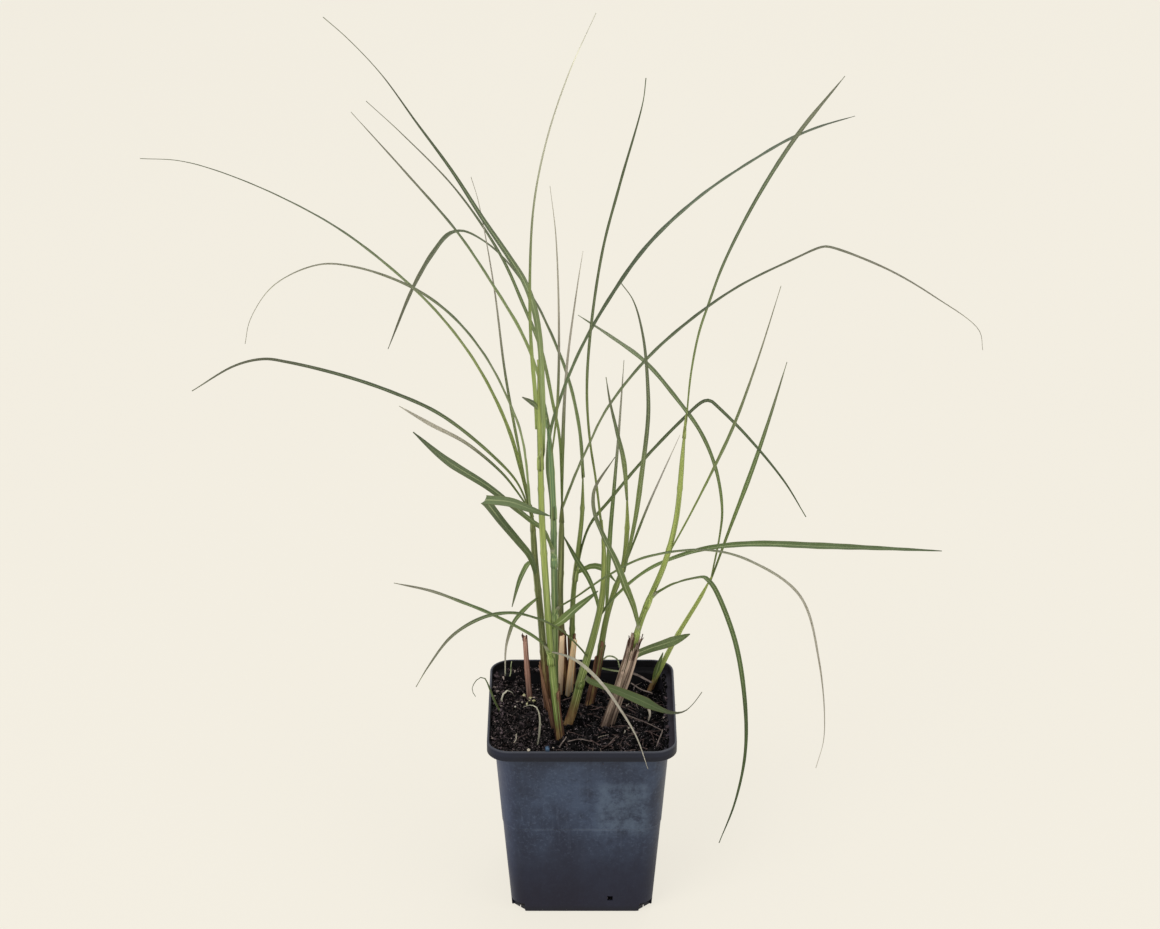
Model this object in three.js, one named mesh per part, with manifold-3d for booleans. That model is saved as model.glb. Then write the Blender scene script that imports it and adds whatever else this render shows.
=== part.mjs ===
// Young silver spider grass (a slender miscanthus) in a square nursery pot.
// Millimetres, +Z up. The origin is the middle of the pot's base, on the surface that it stands on;
// +X is to the right and -Y to the front, as the plant is usually seen.

import * as THREE from "three";
import { mergeVertices } from "three/addons/utils/BufferGeometryUtils.js";
import Module from "manifold-3d";

const wasm = await Module();
wasm.setup();

// Driving dimensions. The soil's bank is how much higher it lies against the pot's left wall.
const POT_WIDTH = 90;
const POT_HEIGHT = 96;
const BODY_WIDTH_TOP = 82.8;
const BODY_WIDTH_FOOT = 68;
const RIM_BAND = 5.5;
const WALL = 1.2;
const RIM_CORNER = 11;
const BODY_CORNER_TOP = 13;
const BODY_CORNER_FOOT = 8;
const CORNER_STEPS = 6;
const MOULD_LINE_HEIGHT = 49;
const MOULD_LINE_STEP = 0.25;
const FLOOR_THICKNESS = 2.5;
const FOOT_RECESS = 1.2;
const FOOT_RIM = 4;
const FOOT_RIB = 6;
const FOOT_PAD_RADIUS = 9;
const DRAIN_RADIUS = 4;
const DRAIN_PLACE = 17;
const CORNER_NOTCH = 9;
const CORNER_NOTCH_INSET = 1;
const SIDE_DRAIN = 2.6;
const SIDE_DRAIN_ACROSS = 13.6;
const SIDE_DRAIN_HEIGHT = 8;
const LIP_BEVEL = 0.5;
const SOIL_LEVEL = 86;
const SOIL_SLOPE = 0.03;
const SOIL_BANK = 3.6;
const SOIL_BANK_START = 22;
const SOIL_CLOD = 2.2;
const SOIL_CRUMB = 1.1;
const SOIL_RINGS = 13;
const ROOT_DEPTH = 13;
const GAP = 0.35;
const BLADE_THICKNESS = 0.7;
const BLADE_STEP = 13;
const STALK_STEP = 22;
const STALK_SIDES = 8;

// A blade's channel is this share of its width deep. Its width starts at footShare of the greatest,
// is the greatest at widest, and draws in to the tip by tipPower. A blade's own row may say otherwise.
const BLADE_SHAPE = { channel: 0.16, footShare: 0.5, widest: 0.25, tipPower: 0.62 };

// The lumps in the soil's top are waves that cross: size, turns per millimetre along x and y, offset
const SOIL_WAVES = [
  { size: 0.5, alongX: 0.31, alongY: 0.27, offset: 0.9 },
  { size: 0.5, alongX: 0.31, alongY: -0.27, offset: 1.7 },
  { size: 0.6, alongX: 0.63, alongY: -0.52, offset: 2.1 },
  { size: 0.35, alongX: 1.1, alongY: 0.9, offset: Math.PI / 2 },
];

// The plant is laid out as it is seen from the front, from a little above. A layout point is
// [across, down, behind]: across and down are places in a sight picture, and behind is how far
// the point really stands behind the middle of the pot, in millimetres.
const SIGHT = { centreAcross: 580, centreDown: 464.5, unitsPerSlope: 3465, distance: 1614, aimHeight: 224.6,
  aimAcross: -0.9, lookDown: THREE.MathUtils.degToRad(25.87) };

// Each leafy stem: its stalk from the soil up, the stalk's thickness at both ends, and its blades,
// each with its middle line from the stalk to the tip and its greatest width. widest is how far along
// that width comes, broad the direction across a blade that is turned out of the level, and tipPower
// how fast it draws in to the tip.
const LEAFY_STEMS = {
  leafy_stem_front: {
    colour: 0x7d9448,
    stalk: [[560, 738, -15], [557, 715, -15], [552, 665, -15], [547, 600, -16], [542, 520, -18],
      [540, 440, -20], [538, 360, -22]],
    thick: [4.2, 3.2],
    blades: [
      { width: 3, footShare: 0.8, widest: 0.3, tipPower: 1.2,
        line: [[542, 455, -20], [543, 425, -21], [542, 385, -22], [539.5, 340, -20], [534, 308, -16],
        [524, 281, -11], [509, 257, -5], [483, 219, 6], [452, 171, 20], [416, 122, 35], [381, 74, 48],
        [347, 38, 58], [323, 17, 62]] },
      { width: 1.6, line: [[538, 430, -20], [536, 400, -21], [531, 340, -22], [530, 276, -20],
        [534, 204, -12], [547, 139, -2], [569, 73, 10], [596, 13, 20]] },
      { width: 3.2, footShare: 0.8, widest: 0.45, broad: [-0.3, 0.8, 0.5],
        line: [[549, 648, -15], [533, 636, -18], [495, 616, -24], [456, 600, -30], [431, 591, -34],
        [394, 583, -40]] },
      { width: 4.4, widest: 0.3, broad: [-0.6, 0.35, 0.8],
        line: [[550, 628, -15.5], [560, 622, -14], [575, 609, -13], [588, 599, -13],
        [598, 591, -15]] },
      { width: 2.4, widest: 0.5, broad: [0.4, 0.3, 0.8],
        line: [[540, 412, -20], [534, 404, -23], [522, 397, -28]] },
    ],
  },
  leafy_stem_tall: {
    colour: 0x6f8f58,
    stalk: [[557, 714, 9], [555, 680, 8], [555, 630, 6], [554, 560, 4], [553, 500, 2], [549, 435, 0],
      [545, 405, -1]],
    thick: [3.6, 2.2],
    blades: [
      { width: 3, line: [[546, 412, -1], [538, 375, 3], [522, 334, 8], [491, 282, 18], [457, 232, 30],
        [406, 173, 42], [351, 112, 52]] },
      { width: 1.3,
        line: [[551, 460, 1], [557, 410, -6], [559, 340, -14], [556, 238, -26], [550, 186, -32]] },
      { width: 2.9, footShare: 0.9, widest: 0.85,
        line: [[553, 505, 2], [548, 470, 5], [550, 435, 8], [560, 400, 12], [580, 351, 20],
        [610, 298, 31], [648, 245, 44], [702, 195, 62], [765, 153, 83], [791, 138.5, 91],
        [820, 126.5, 100], [855, 116, 110]] },
      { width: 3.8, widest: 0.75, broad: [0.5, 0.3, 0.8],
        line: [[554, 552, 4], [543, 529, -4], [533, 522, -8], [518, 510, -12], [487, 486, -20],
        [446, 460, -28], [413, 432, -34]] },
      { width: 2.2, footShare: 0.8,
        line: [[556, 608, 5], [575, 597, -2], [605, 577, -12], [643, 558, -22], [704, 550, -38],
        [750, 561, -53], [800, 596, -69], [819, 661, -82], [824, 737, -91], [816, 768, -93]] },
    ],
  },
  leafy_stem_middle: {
    colour: 0x7a7c40,
    stalk: [[565, 690, 32], [563, 660, 31], [560, 600, 29], [561, 560, 27], [562, 500, 25]],
    thick: [4, 2.8],
    blades: [
      { width: 2.1, line: [[562, 508, 25], [559, 435, 27], [553, 405, 29], [541, 350, 34], [522, 302, 41],
        [501, 256, 50], [457, 191, 70], [401, 133, 95], [366, 101, 110]] },
      { width: 2.6, footShare: 1, broad: [0.2, 1, 0.3],
        line: [[562, 508, 25], [577, 470, 10], [587, 448, -1], [606, 410, -11], [645, 361, -20],
        [683, 326, -27], [736, 288, -37], [794, 259, -48], [822, 247, -54], [830, 247, -56], [887, 269, -65],
        [935, 297, -73], [979, 330, -80], [983, 350, -81]] },
      { width: 2, line: [[562, 508, 25], [563, 440, 27], [567, 366, 31], [577, 289, 38], [583, 251, 42]] },
    ],
  },
  leafy_stem_left: {
    colour: 0x76813f,
    stalk: [[549, 709, 13], [545, 670, 12], [541, 620, 11], [538, 590, 10], [535, 560, 9], [533, 530, 8],
      [531, 505, 7]],
    thick: [3.8, 3],
    blades: [
      { width: 3.1, footShare: 0.9, widest: 0.1, tipPower: 1,
        line: [[532, 518, 7], [522, 475, 12], [507, 426, 19], [481, 372, 28], [452, 330, 36],
        [413, 288, 47], [345, 233, 63], [279, 196, 79], [215, 170, 93], [178, 160.5, 100],
        [140, 158.5, 107]] },
      { width: 3.4, footShare: 0.9, widest: 0.15, tipPower: 0.95, broad: [-0.35, 0.93, 0.5],
        line: [[532, 522, 7.5], [523, 440, 0], [510, 403, -4], [486, 357, -9], [452, 316, -16],
        [413, 288, -24], [355, 267, -36], [317, 265, -43], [273, 286, -51], [250, 320, -57],
        [245, 344, -59]] },
      { width: 1.5, line: [[532, 518, 7], [522, 466, 12], [511, 408, 19], [504, 366, 25], [494, 287, 36],
        [478, 200, 44], [471, 177, 46]] },
      { width: 2, footShare: 0.6, widest: 0.4, tipPower: 0.4, broad: [0.2, 0.6, 0.8],
        line: [[533, 520, 7], [518, 484, -2], [495, 458, -12], [441, 415, -34], [394, 393, -51],
        [341, 375, -68], [287, 362, -84], [263, 359, -91], [234, 366, -99], [192, 391, -110]] },
      { width: 2, footShare: 0.35, widest: 0.8, broad: [0.3, 0.6, 0.8],
        line: [[532, 514, 7], [518, 493, 10], [502, 473, 12], [466, 443, 16], [430, 424, 20],
        [399, 406, 22]] },
      { width: 4.6, footShare: 0.6, widest: 0.85, broad: [0.5, 0, 1],
        line: [[537, 575, 9.5], [530, 556, 2], [518, 541, -6], [502, 522, -16], [488, 504, -25],
        [484, 500, -28], [489, 500, -30], [510, 502, -34], [533, 510, -38], [550, 516, -41]] },
      { width: 3.4, line: [[536, 564, 9], [530, 562, 6], [521, 577, 0], [516, 592, -4], [512, 607, -6]] },
      { width: 2.6, line: [[539, 597, 10], [527, 607, 4], [514, 622, -1], [509, 635, -3], [506, 648, -4],
        [505, 676, -5]] },
    ],
  },
  leafy_stem_low: {
    colour: 0x8a9a4a,
    stalk: [[567, 727, -4], [573, 710, -4], [583, 672, -4], [593, 638, -3], [602, 598, -2], [604, 560, -1],
      [602, 520, 0]],
    thick: [4.8, 2.2],
    blades: [
      { width: 2, footShare: 1, widest: 0.2, tipPower: 0.7,
        line: [[602, 530, 0], [596, 480, 4], [590, 440, 9], [587, 390, 13], [591, 328, 17],
        [603, 249, 23], [620, 184, 28], [643, 102, 33], [646, 78, 34]] },
      { width: 3.8, footShare: 0.55, widest: 0.7, tipPower: 0.5, broad: [0, 1, 0.25],
        line: [[598, 618, -2.5], [615, 597, 1], [643, 573, 6], [666, 561, 8], [704, 549, 6],
        [751, 544, 0], [820, 546, -10], [942, 551, -26]] },
      { width: 2.6, widest: 0.6, broad: [0.9, 0.2, 0.4],
        line: [[599.5, 612, -2.4], [596, 597, 6], [588, 577, 10], [577, 560, 10], [563, 535, 9]] },
      { width: 2.6, widest: 0.5, broad: [-0.4, 0.9, 0.4],
        line: [[589, 658, -3.5], [577, 644, -14], [560, 629, -24], [539, 619, -32],
        [511, 613, -42], [482, 618, -52], [451, 637, -65], [428, 667, -76], [416, 687, -82]] },
      { width: 5, widest: 0.5, tipPower: 2.2, broad: [0.1, 0.44, 0.9],
        line: [[583, 674, -4], [590, 681, -8], [601, 685, -10], [617, 690.5, -13], [640, 700, -13],
        [657, 708, -12], [668, 712, -12], [677, 713, -12], [685, 711, -12], [693, 704, -11],
        [702, 692, -10]] },
    ],
  },
  leafy_stem_back: {
    colour: 0x71803f,
    stalk: [[572, 686, 36], [572, 655, 35], [573, 600, 34], [577, 560, 33], [582, 515, 31], [583, 470, 30]],
    thick: [3.2, 2],
    blades: [
      { width: 3.2, footShare: 0.85, widest: 0.75, broad: [-0.5, -0.6, 0.5],
        line: [[583, 478, 30], [579, 428, 35], [567, 375, 43], [545, 320, 52], [531, 294, 57],
        [506, 260, 62], [486, 242, 68], [466, 231.5, 73], [458, 231, 74], [449, 234, 75], [433, 253, 78],
        [413, 288, 82], [388, 349, 84]] },
      { width: 2.1, footShare: 0.8, widest: 0.3, tipPower: 0.45, broad: [0, 0.44, 0.9],
        line: [[576, 566, 33], [590, 525, 31], [610, 500, 28], [640, 464, 24], [680, 422, 18],
        [704, 401, 14], [711, 401, 12], [717, 406, 10], [746, 435, 2], [784, 481, -8], [806, 517, -16]] },
      { width: 3.2, widest: 0.5, broad: [0, 0.44, 0.9],
        line: [[576, 573, 33], [592, 566, 35], [602, 568, 36], [616, 582, 38]] },
    ],
  },
  leafy_stem_forked: {
    colour: 0x7f9350,
    stalk: [[590, 703, 19], [598, 665, 18], [606, 620, 17], [614, 592, 16], [623, 567, 15], [627, 530, 14],
      [627, 490, 13]],
    thick: [3.6, 2.2],
    blades: [
      { width: 2.4, line: [[627, 500, 13], [624, 463, 2], [617, 432, -12], [610, 402, -28],
        [606, 377, -42]] },
      { width: 2.5, line: [[624, 572, 15], [635, 521, 5], [641, 480, -8], [648, 420, -28], [648, 391, -39],
        [643, 336, -63], [633, 300, -79], [621, 283, -87]] },
      { width: 1.4, line: [[624, 568, 15], [646, 511, 30], [660, 479, 50], [680, 435, 74]] },
      { width: 2.3, line: [[606, 622, 17], [610, 537, 36], [614, 490, 53], [619, 430, 78], [624, 360, 108]] },
    ],
  },
  leafy_stem_right: {
    colour: 0x8da04c,
    stalk: [[607.5, 724, -2], [618, 695, -2], [628, 665, -3], [640.5, 622, -4], [650, 598, -4],
      [664, 565, -5], [676, 520, -7], [683, 450, -9], [686, 415, -10]],
    thick: [3.4, 2.4],
    blades: [
      { width: 2.3, footShare: 0.35, widest: 0.85,
        line: [[686, 425, -10], [691, 374, -6], [699, 333, 0], [709, 303, 6], [724, 263, 14],
        [756, 200, 28], [796, 137, 44], [845, 76, 60]] },
      { width: 1.8, widest: 0.4,
        line: [[669, 553, -5.5], [690, 515, -14], [715, 466, -27], [734, 425, -39], [757, 362, -58],
        [781, 286, -80]] },
      { width: 2.3, footShare: 1, widest: 0.5, tipPower: 0.5,
        line: [[654, 594, -4], [674, 583, -14], [696, 577.5, -26], [705, 577.5, -31],
        [709, 581, -33], [715, 589, -35], [735, 641, -42], [745, 704, -48], [745, 754, -53],
        [735, 802, -58], [719, 843, -62]] },
      { width: 3.6, line: [[639, 628, -4], [633, 605, -14], [626, 588, -23], [616, 562, -33], [603, 535, -42],
        [595, 515, -48], [593, 500, -52], [595, 488, -54], [615, 457, -62]] },
    ],
  },
  leafy_stem_far_right: {
    colour: 0x98a94f,
    stalk: [[651, 688, 34], [660, 669, 34], [677, 636, 34], [700, 598, 33], [712, 576, 33]],
    thick: [3, 2],
    blades: [
      { width: 3.2, footShare: 0.3, widest: 0.8,
        line: [[711, 580, 33], [720, 533, 34], [722, 509, 36], [716, 470, 40], [701, 433, 45],
        [676, 398, 52], [645, 362, 61], [610, 336, 73], [578, 315, 84]] },
      { width: 2.5, footShare: 0.35, widest: 0.45,
        line: [[711, 580, 33], [729, 531, 39], [751, 473, 50], [769, 420, 63], [787, 362, 80]] },
      { width: 3, widest: 0.4, broad: [1, 0, 0],
        line: [[653, 683, 34], [657.5, 668, 32.5], [663, 652.5, 31]] },
    ],
  },
};

// Small things that stand in the soil: a single blade or a dead piece of stalk each
const SOIL_BLADES = {
  pale_shoot_front: { colour: 0xb9bd6c, width: 1.4, line: [[537, 748, -26], [539.5, 731, -26],
    [539.5, 716, -25], [537, 708, -23], [531, 705, -20], [523, 707, -17]] },
  pale_shoot_left: { colour: 0xc2b8a4, width: 1.4, line: [[503, 710, 9], [501.5, 703, 9], [502, 697, 9.5],
    [504.5, 692.3, 10], [508, 690.3, 11], [512, 692, 12], [514.3, 696.5, 12]] },
  curled_blade_left: { colour: 0x6a7a4a, width: 1.5, line: [[503, 719, 0.5], [500, 711, 0.5],
    [496, 704, 0], [492, 695, -1], [488.5, 686, -1], [485.5, 679, 0], [482.5, 677, 0], [478, 678.5, -1],
    [473.5, 684, -2], [472, 690.5, -2], [475.5, 696.5, -2]] },
  short_leaf_right: { colour: 0x5f8a45, width: 4.8, footShare: 0.2, widest: 0.85, broad: [-0.2, 0.3, 0.9],
    line: [[613, 709.5, 12], [621, 686, 12], [628.5, 666, 12], [636, 655, 12], [649, 649, 12],
      [663, 644.5, 12], [677, 639.5, 12], [690, 634, 12]] },
  dead_sheath_pale: { colour: 0xcba880, width: 3.8, widest: 0.5, broad: [1, 0, 0],
    line: [[569, 692, 28], [571.5, 665, 27], [574.5, 640, 26]] },
  dead_sheath_brown: { colour: 0x8a5c40, width: 3.6, widest: 0.5, broad: [1, 0, 0],
    line: [[559, 692, 27], [561, 665, 26], [562, 640, 25]] },
  dead_twig: { colour: 0x74483f, width: 1.6, line: [[552, 724, -9], [547, 700, -9], [543, 680, -9],
    [540, 667, -9]] },
};
const CUT_CANE = { colour: 0xa27a66, thick: [2.7, 2.3], line: [[529.5, 697, 24], [527, 668, 24],
  [525, 638, 24]] };
const DRY_LEAF = { colour: 0xb8b394, width: 1.8, line: [[552, 652, -17.8], [560, 654, -20], [577, 661, -24],
  [602, 684, -31], [622, 712, -38], [637, 738, -45], [648, 769, -52]] };
const SHEATH_BUNDLE = { colour: 0x7d6656, strips: 6, firstStrip: 0.25, stripThickness: 0.8, overlap: 1.15,
  topWidth: 0.6, lapped: 0.35, stagger: 1.3, splay: [0.1, 0.4, 0.8], reach: 0.36, shortest: 0.8, step: 9 };

// Vector and mesh helpers
const UP = new THREE.Vector3(0, 0, 1);

function sighted([across, down, behind]) {
  const cos = Math.cos(SIGHT.lookDown);
  const sin = Math.sin(SIGHT.lookDown);
  const right = (across - SIGHT.centreAcross) / SIGHT.unitsPerSlope;
  const rise = (SIGHT.centreDown - down) / SIGHT.unitsPerSlope;
  const eye = new THREE.Vector3(SIGHT.aimAcross, 0, SIGHT.aimHeight)
    .add(new THREE.Vector3(0, -cos, sin).multiplyScalar(SIGHT.distance));
  const ray = new THREE.Vector3(right, cos + rise * sin, rise * cos - sin);
  return eye.addScaledVector(ray, (behind - eye.y) / ray.y);
}

// Joins rings of points, each seen anticlockwise from the far end, into one closed surface.
// The columns named in flipped are split along their other diagonal.
function loft(rings, flipped = []) {
  const count = rings[0].length;
  const position = rings.flat().flatMap((point) => point.toArray());
  const index = [];
  for (let ring = 0; ring + 1 < rings.length; ring += 1) {
    for (let column = 0; column < count; column += 1) {
      const a = ring * count + column;
      const b = ring * count + (column + 1) % count;
      const c = b + count;
      const d = a + count;
      index.push(...(flipped.includes(column) ? [a, b, d, b, c, d] : [a, b, c, a, c, d]));
    }
  }
  const last = (rings.length - 1) * count;
  for (let column = 1; column + 1 < count; column += 1) {
    index.push(0, column + 1, column);
    index.push(last, last + column, last + column + 1);
  }
  const geometry = new THREE.BufferGeometry();
  geometry.setAttribute("position", new THREE.Float32BufferAttribute(position, 3));
  geometry.setIndex(index);
  return geometry;
}

function solid(geometry) {
  const bare = geometry.clone();
  bare.deleteAttribute("normal");
  bare.deleteAttribute("uv");
  const merged = mergeVertices(bare, 1e-4);
  return new wasm.Manifold(new wasm.Mesh({
    numProp: 3,
    vertProperties: Float32Array.from(merged.attributes.position.array),
    triVerts: Uint32Array.from(merged.index.array),
  }));
}

function geometryOf(manifold) {
  const mesh = manifold.getMesh();
  const geometry = new THREE.BufferGeometry();
  geometry.setAttribute("position", new THREE.Float32BufferAttribute(mesh.vertProperties, 3));
  geometry.setIndex(new THREE.Uint32BufferAttribute(mesh.triVerts, 1));
  return geometry;
}

function union(solids) {
  return solids.reduce((whole, next) => whole.add(next));
}

function seededRandom(seed) {
  let state = seed;
  return () => {
    state = (state * 1664525 + 1013904223) % 4294967296;
    return state / 4294967296;
  };
}

// Places along a smooth line through the layout points, every control point among them
function placesAlong(line, step) {
  const points = line.map((point) => (point.isVector3 ? point : sighted(point)));
  const curve = new THREE.CatmullRomCurve3(points, false, "centripetal");
  const spans = points.length - 1;
  const places = [];
  for (let span = 0; span < spans; span += 1) {
    const cuts = Math.max(1, Math.round(points[span].distanceTo(points[span + 1]) / step));
    for (let cut = 0; cut < cuts; cut += 1) places.push((span + cut / cuts) / spans);
  }
  places.push(1);
  const middle = places.map((place) => curve.getPoint(place));
  let run = 0;
  const runs = middle.map((point, at) => {
    run += at ? point.distanceTo(middle[at - 1]) : 0;
    return run;
  });
  return middle.map((point, at) => ({
    point,
    along: runs[at] / run,
    tangent: middle[Math.min(at + 1, middle.length - 1)].clone().sub(middle[Math.max(at - 1, 0)]).normalize(),
  }));
}

function frameAt(tangent, sideways) {
  const side = sideways.clone().addScaledVector(tangent, -sideways.dot(tangent)).normalize();
  return { side, face: tangent.clone().cross(side).normalize() };
}

function ringAt({ point, tangent }, sideways, outline) {
  const { side, face } = frameAt(tangent, sideways);
  return outline.map(([u, v]) => point.clone().addScaledVector(side, u).addScaledVector(face, v));
}

// Stalks: many-sided rods that thin upwards
function rod(line, thickFoot, thickTop, step = STALK_STEP) {
  const rings = placesAlong(line, step).map((place) => {
    const radius = THREE.MathUtils.lerp(thickFoot, thickTop, place.along) / 2;
    const outline = [];
    for (let side = 0; side < STALK_SIDES; side += 1) {
      const turn = 2 * Math.PI * side / STALK_SIDES;
      outline.push([radius * Math.cos(turn), radius * Math.sin(turn)]);
    }
    return ringAt(place, new THREE.Vector3(1, 0, 0), outline);
  });
  return loft(rings);
}

// The part of a standing line that is in the soil: straight on from its foot
function rootedLine(line) {
  const foot = sighted(line[0]);
  const lean = sighted(line[1]).sub(foot).normalize();
  return [foot.clone().addScaledVector(lean, -ROOT_DEPTH), ...line];
}

function soilHole(line, thick) {
  const foot = sighted(line[0]);
  const lean = sighted(line[1]).sub(foot).normalize();
  const below = foot.clone().addScaledVector(lean, -ROOT_DEPTH - GAP);
  const above = foot.clone().addScaledVector(lean, ROOT_DEPTH);
  const reach = (thick / 2 + GAP) / Math.cos(Math.PI / STALK_SIDES) * 2;
  return rod([below, above], reach, reach, ROOT_DEPTH * 3);
}

// Leaf blades: a shallow channel in section, narrow at the stalk, widest in the lower half, and
// drawn out to a fine tip. The midrib's groove is on the upper face.
const BLADE_FLIPPED_COLUMNS = [2, 5];

function bladeOutline(width, depth) {
  const half = width / 2;
  const thin = BLADE_THICKNESS / 2;
  return [[0, thin - depth], [-half, thin], [-half, -thin], [0, -thin - depth], [half, -thin], [half, thin]];
}

function bladeWidth({ width, footShare, widest, tipPower }, along) {
  const widening = THREE.MathUtils.lerp(footShare, 1, Math.min(1, along / widest));
  const narrowing = Math.pow(Math.min(1, (1 - along) / (1 - widest)), tipPower);
  return Math.max(BLADE_THICKNESS, width * widening * narrowing);
}

// A blade lies level across its run unless broad turns it, and its channel is open upwards either way
function acrossBlade(places, broad) {
  const outward = places[places.length - 1].point.clone().sub(places[0].point).setZ(0).normalize();
  const level = UP.clone().cross(outward);
  const turned = broad ? new THREE.Vector3(...broad) : level;
  return turned.dot(level) < 0 ? turned.negate() : turned;
}

function blade(leaf) {
  const places = placesAlong(leaf.line, BLADE_STEP);
  const sideways = acrossBlade(places, leaf.broad);
  const rings = places.map((place) => {
    const across = bladeWidth({ ...BLADE_SHAPE, ...leaf }, place.along);
    return ringAt(place, sideways, bladeOutline(across, across * BLADE_SHAPE.channel));
  });
  return loft(rings, BLADE_FLIPPED_COLUMNS);
}

// Square rings with rounded corners, for the pot and the soil
function squareRing(width, corner, height) {
  const ring = [];
  const middle = width / 2 - corner;
  for (let quarter = 0; quarter < 4; quarter += 1) {
    const centre = new THREE.Vector2(middle, middle).rotateAround(new THREE.Vector2(), quarter * Math.PI / 2);
    for (let step = 0; step <= CORNER_STEPS; step += 1) {
      const turn = (quarter + step / CORNER_STEPS) * Math.PI / 2;
      ring.push(new THREE.Vector3(centre.x + corner * Math.cos(turn), centre.y + corner * Math.sin(turn),
        height));
    }
  }
  return ring;
}

function bodyRing(height, inset) {
  const rise = height / (POT_HEIGHT - RIM_BAND);
  const width = THREE.MathUtils.lerp(BODY_WIDTH_FOOT, BODY_WIDTH_TOP, rise);
  const corner = THREE.MathUtils.lerp(BODY_CORNER_FOOT, BODY_CORNER_TOP, rise);
  return squareRing(width - 2 * inset, corner - inset, height);
}

function box(width, depth, height, x, y, z, turn = 0) {
  const geometry = new THREE.BoxGeometry(width, depth, height);
  geometry.rotateZ(turn);
  geometry.translate(x, y, z);
  return solid(geometry);
}

function disc(radius, height, x, y, z, sides = 16) {
  const geometry = new THREE.CylinderGeometry(radius, radius, height, sides);
  geometry.rotateX(Math.PI / 2);
  geometry.translate(x, y, z);
  return solid(geometry);
}

function potSolid() {
  const band = POT_HEIGHT - RIM_BAND;
  const outside = solid(loft([
    bodyRing(0, 0),
    bodyRing(MOULD_LINE_HEIGHT, 0),
    bodyRing(MOULD_LINE_HEIGHT, -MOULD_LINE_STEP),
    bodyRing(band, 0),
    squareRing(POT_WIDTH, RIM_CORNER, band),
    squareRing(POT_WIDTH, RIM_CORNER, POT_HEIGHT - LIP_BEVEL),
    squareRing(POT_WIDTH - 2 * LIP_BEVEL, RIM_CORNER - LIP_BEVEL, POT_HEIGHT),
  ]));
  const inside = solid(loft([
    bodyRing(FLOOR_THICKNESS, WALL),
    bodyRing(band + WALL, WALL),
    squareRing(POT_WIDTH - 2 * WALL, RIM_CORNER - WALL, band + WALL),
    squareRing(POT_WIDTH - 2 * WALL, RIM_CORNER - WALL, POT_HEIGHT + WALL),
  ]));
  let pot = outside.subtract(inside);

  const recessWidth = BODY_WIDTH_FOOT - 2 * FOOT_RIM;
  let recess = box(recessWidth, recessWidth, 2 * FOOT_RECESS, 0, 0, 0);
  recess = recess.subtract(box(FOOT_RIB, recessWidth, 4 * FOOT_RECESS, 0, 0, 0));
  recess = recess.subtract(box(recessWidth, FOOT_RIB, 4 * FOOT_RECESS, 0, 0, 0));
  recess = recess.subtract(disc(FOOT_PAD_RADIUS, 4 * FOOT_RECESS, 0, 0, 0));
  pot = pot.subtract(recess);

  const through = 3 * FLOOR_THICKNESS;
  const notchPlace = BODY_WIDTH_FOOT / 2 - CORNER_NOTCH_INSET;
  for (let quarter = 0; quarter < 4; quarter += 1) {
    const turn = quarter * Math.PI / 2;
    const corner = new THREE.Vector2(1, 1).rotateAround(new THREE.Vector2(), turn);
    pot = pot.subtract(disc(DRAIN_RADIUS, through, corner.x * DRAIN_PLACE, corner.y * DRAIN_PLACE, 0));
    pot = pot.subtract(box(CORNER_NOTCH, CORNER_NOTCH, CORNER_NOTCH, corner.x * notchPlace,
      corner.y * notchPlace, 0, Math.PI / 4));
    const side = new THREE.Vector2(SIDE_DRAIN_ACROSS, -BODY_WIDTH_FOOT / 2)
      .rotateAround(new THREE.Vector2(), turn);
    pot = pot.subtract(box(SIDE_DRAIN, through, SIDE_DRAIN, side.x, side.y, SIDE_DRAIN_HEIGHT, turn));
  }
  return pot;
}

// Soil: a block that fills the pot, with a lumpy top and a hole for each thing that stands in it
function soilHeight(x, y) {
  let lumps = 0;
  let sizes = 0;
  for (const wave of SOIL_WAVES) {
    lumps += wave.size * Math.sin(wave.alongX * x + wave.alongY * y + wave.offset);
    sizes += wave.size;
  }
  const bank = SOIL_BANK * THREE.MathUtils.smoothstep(-x, SOIL_BANK_START, POT_WIDTH / 2);
  return SOIL_LEVEL + bank - SOIL_SLOPE * (x + y) + SOIL_CLOD * lumps / sizes;
}

function soilSolid(holes) {
  const clear = WALL + GAP;
  const rings = [bodyRing(FLOOR_THICKNESS + GAP, clear)];
  const edge = bodyRing(SOIL_LEVEL, clear);
  const random = seededRandom(7);
  for (let ring = 0; ring < SOIL_RINGS; ring += 1) {
    const scale = 1 - ring / SOIL_RINGS;
    rings.push(edge.map((point) => {
      const loose = ring ? SOIL_CRUMB : 0;
      const x = point.x * scale + (random() - 0.5) * loose;
      const y = point.y * scale + (random() - 0.5) * loose;
      const crumb = (random() - 0.5) * loose;
      return new THREE.Vector3(x, y, Math.max(soilHeight(x, y) + crumb, ring ? 0 : SOIL_LEVEL));
    }));
  }
  return holes.reduce((soil, hole) => soil.subtract(solid(hole)), solid(loft(rings)));
}

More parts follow.
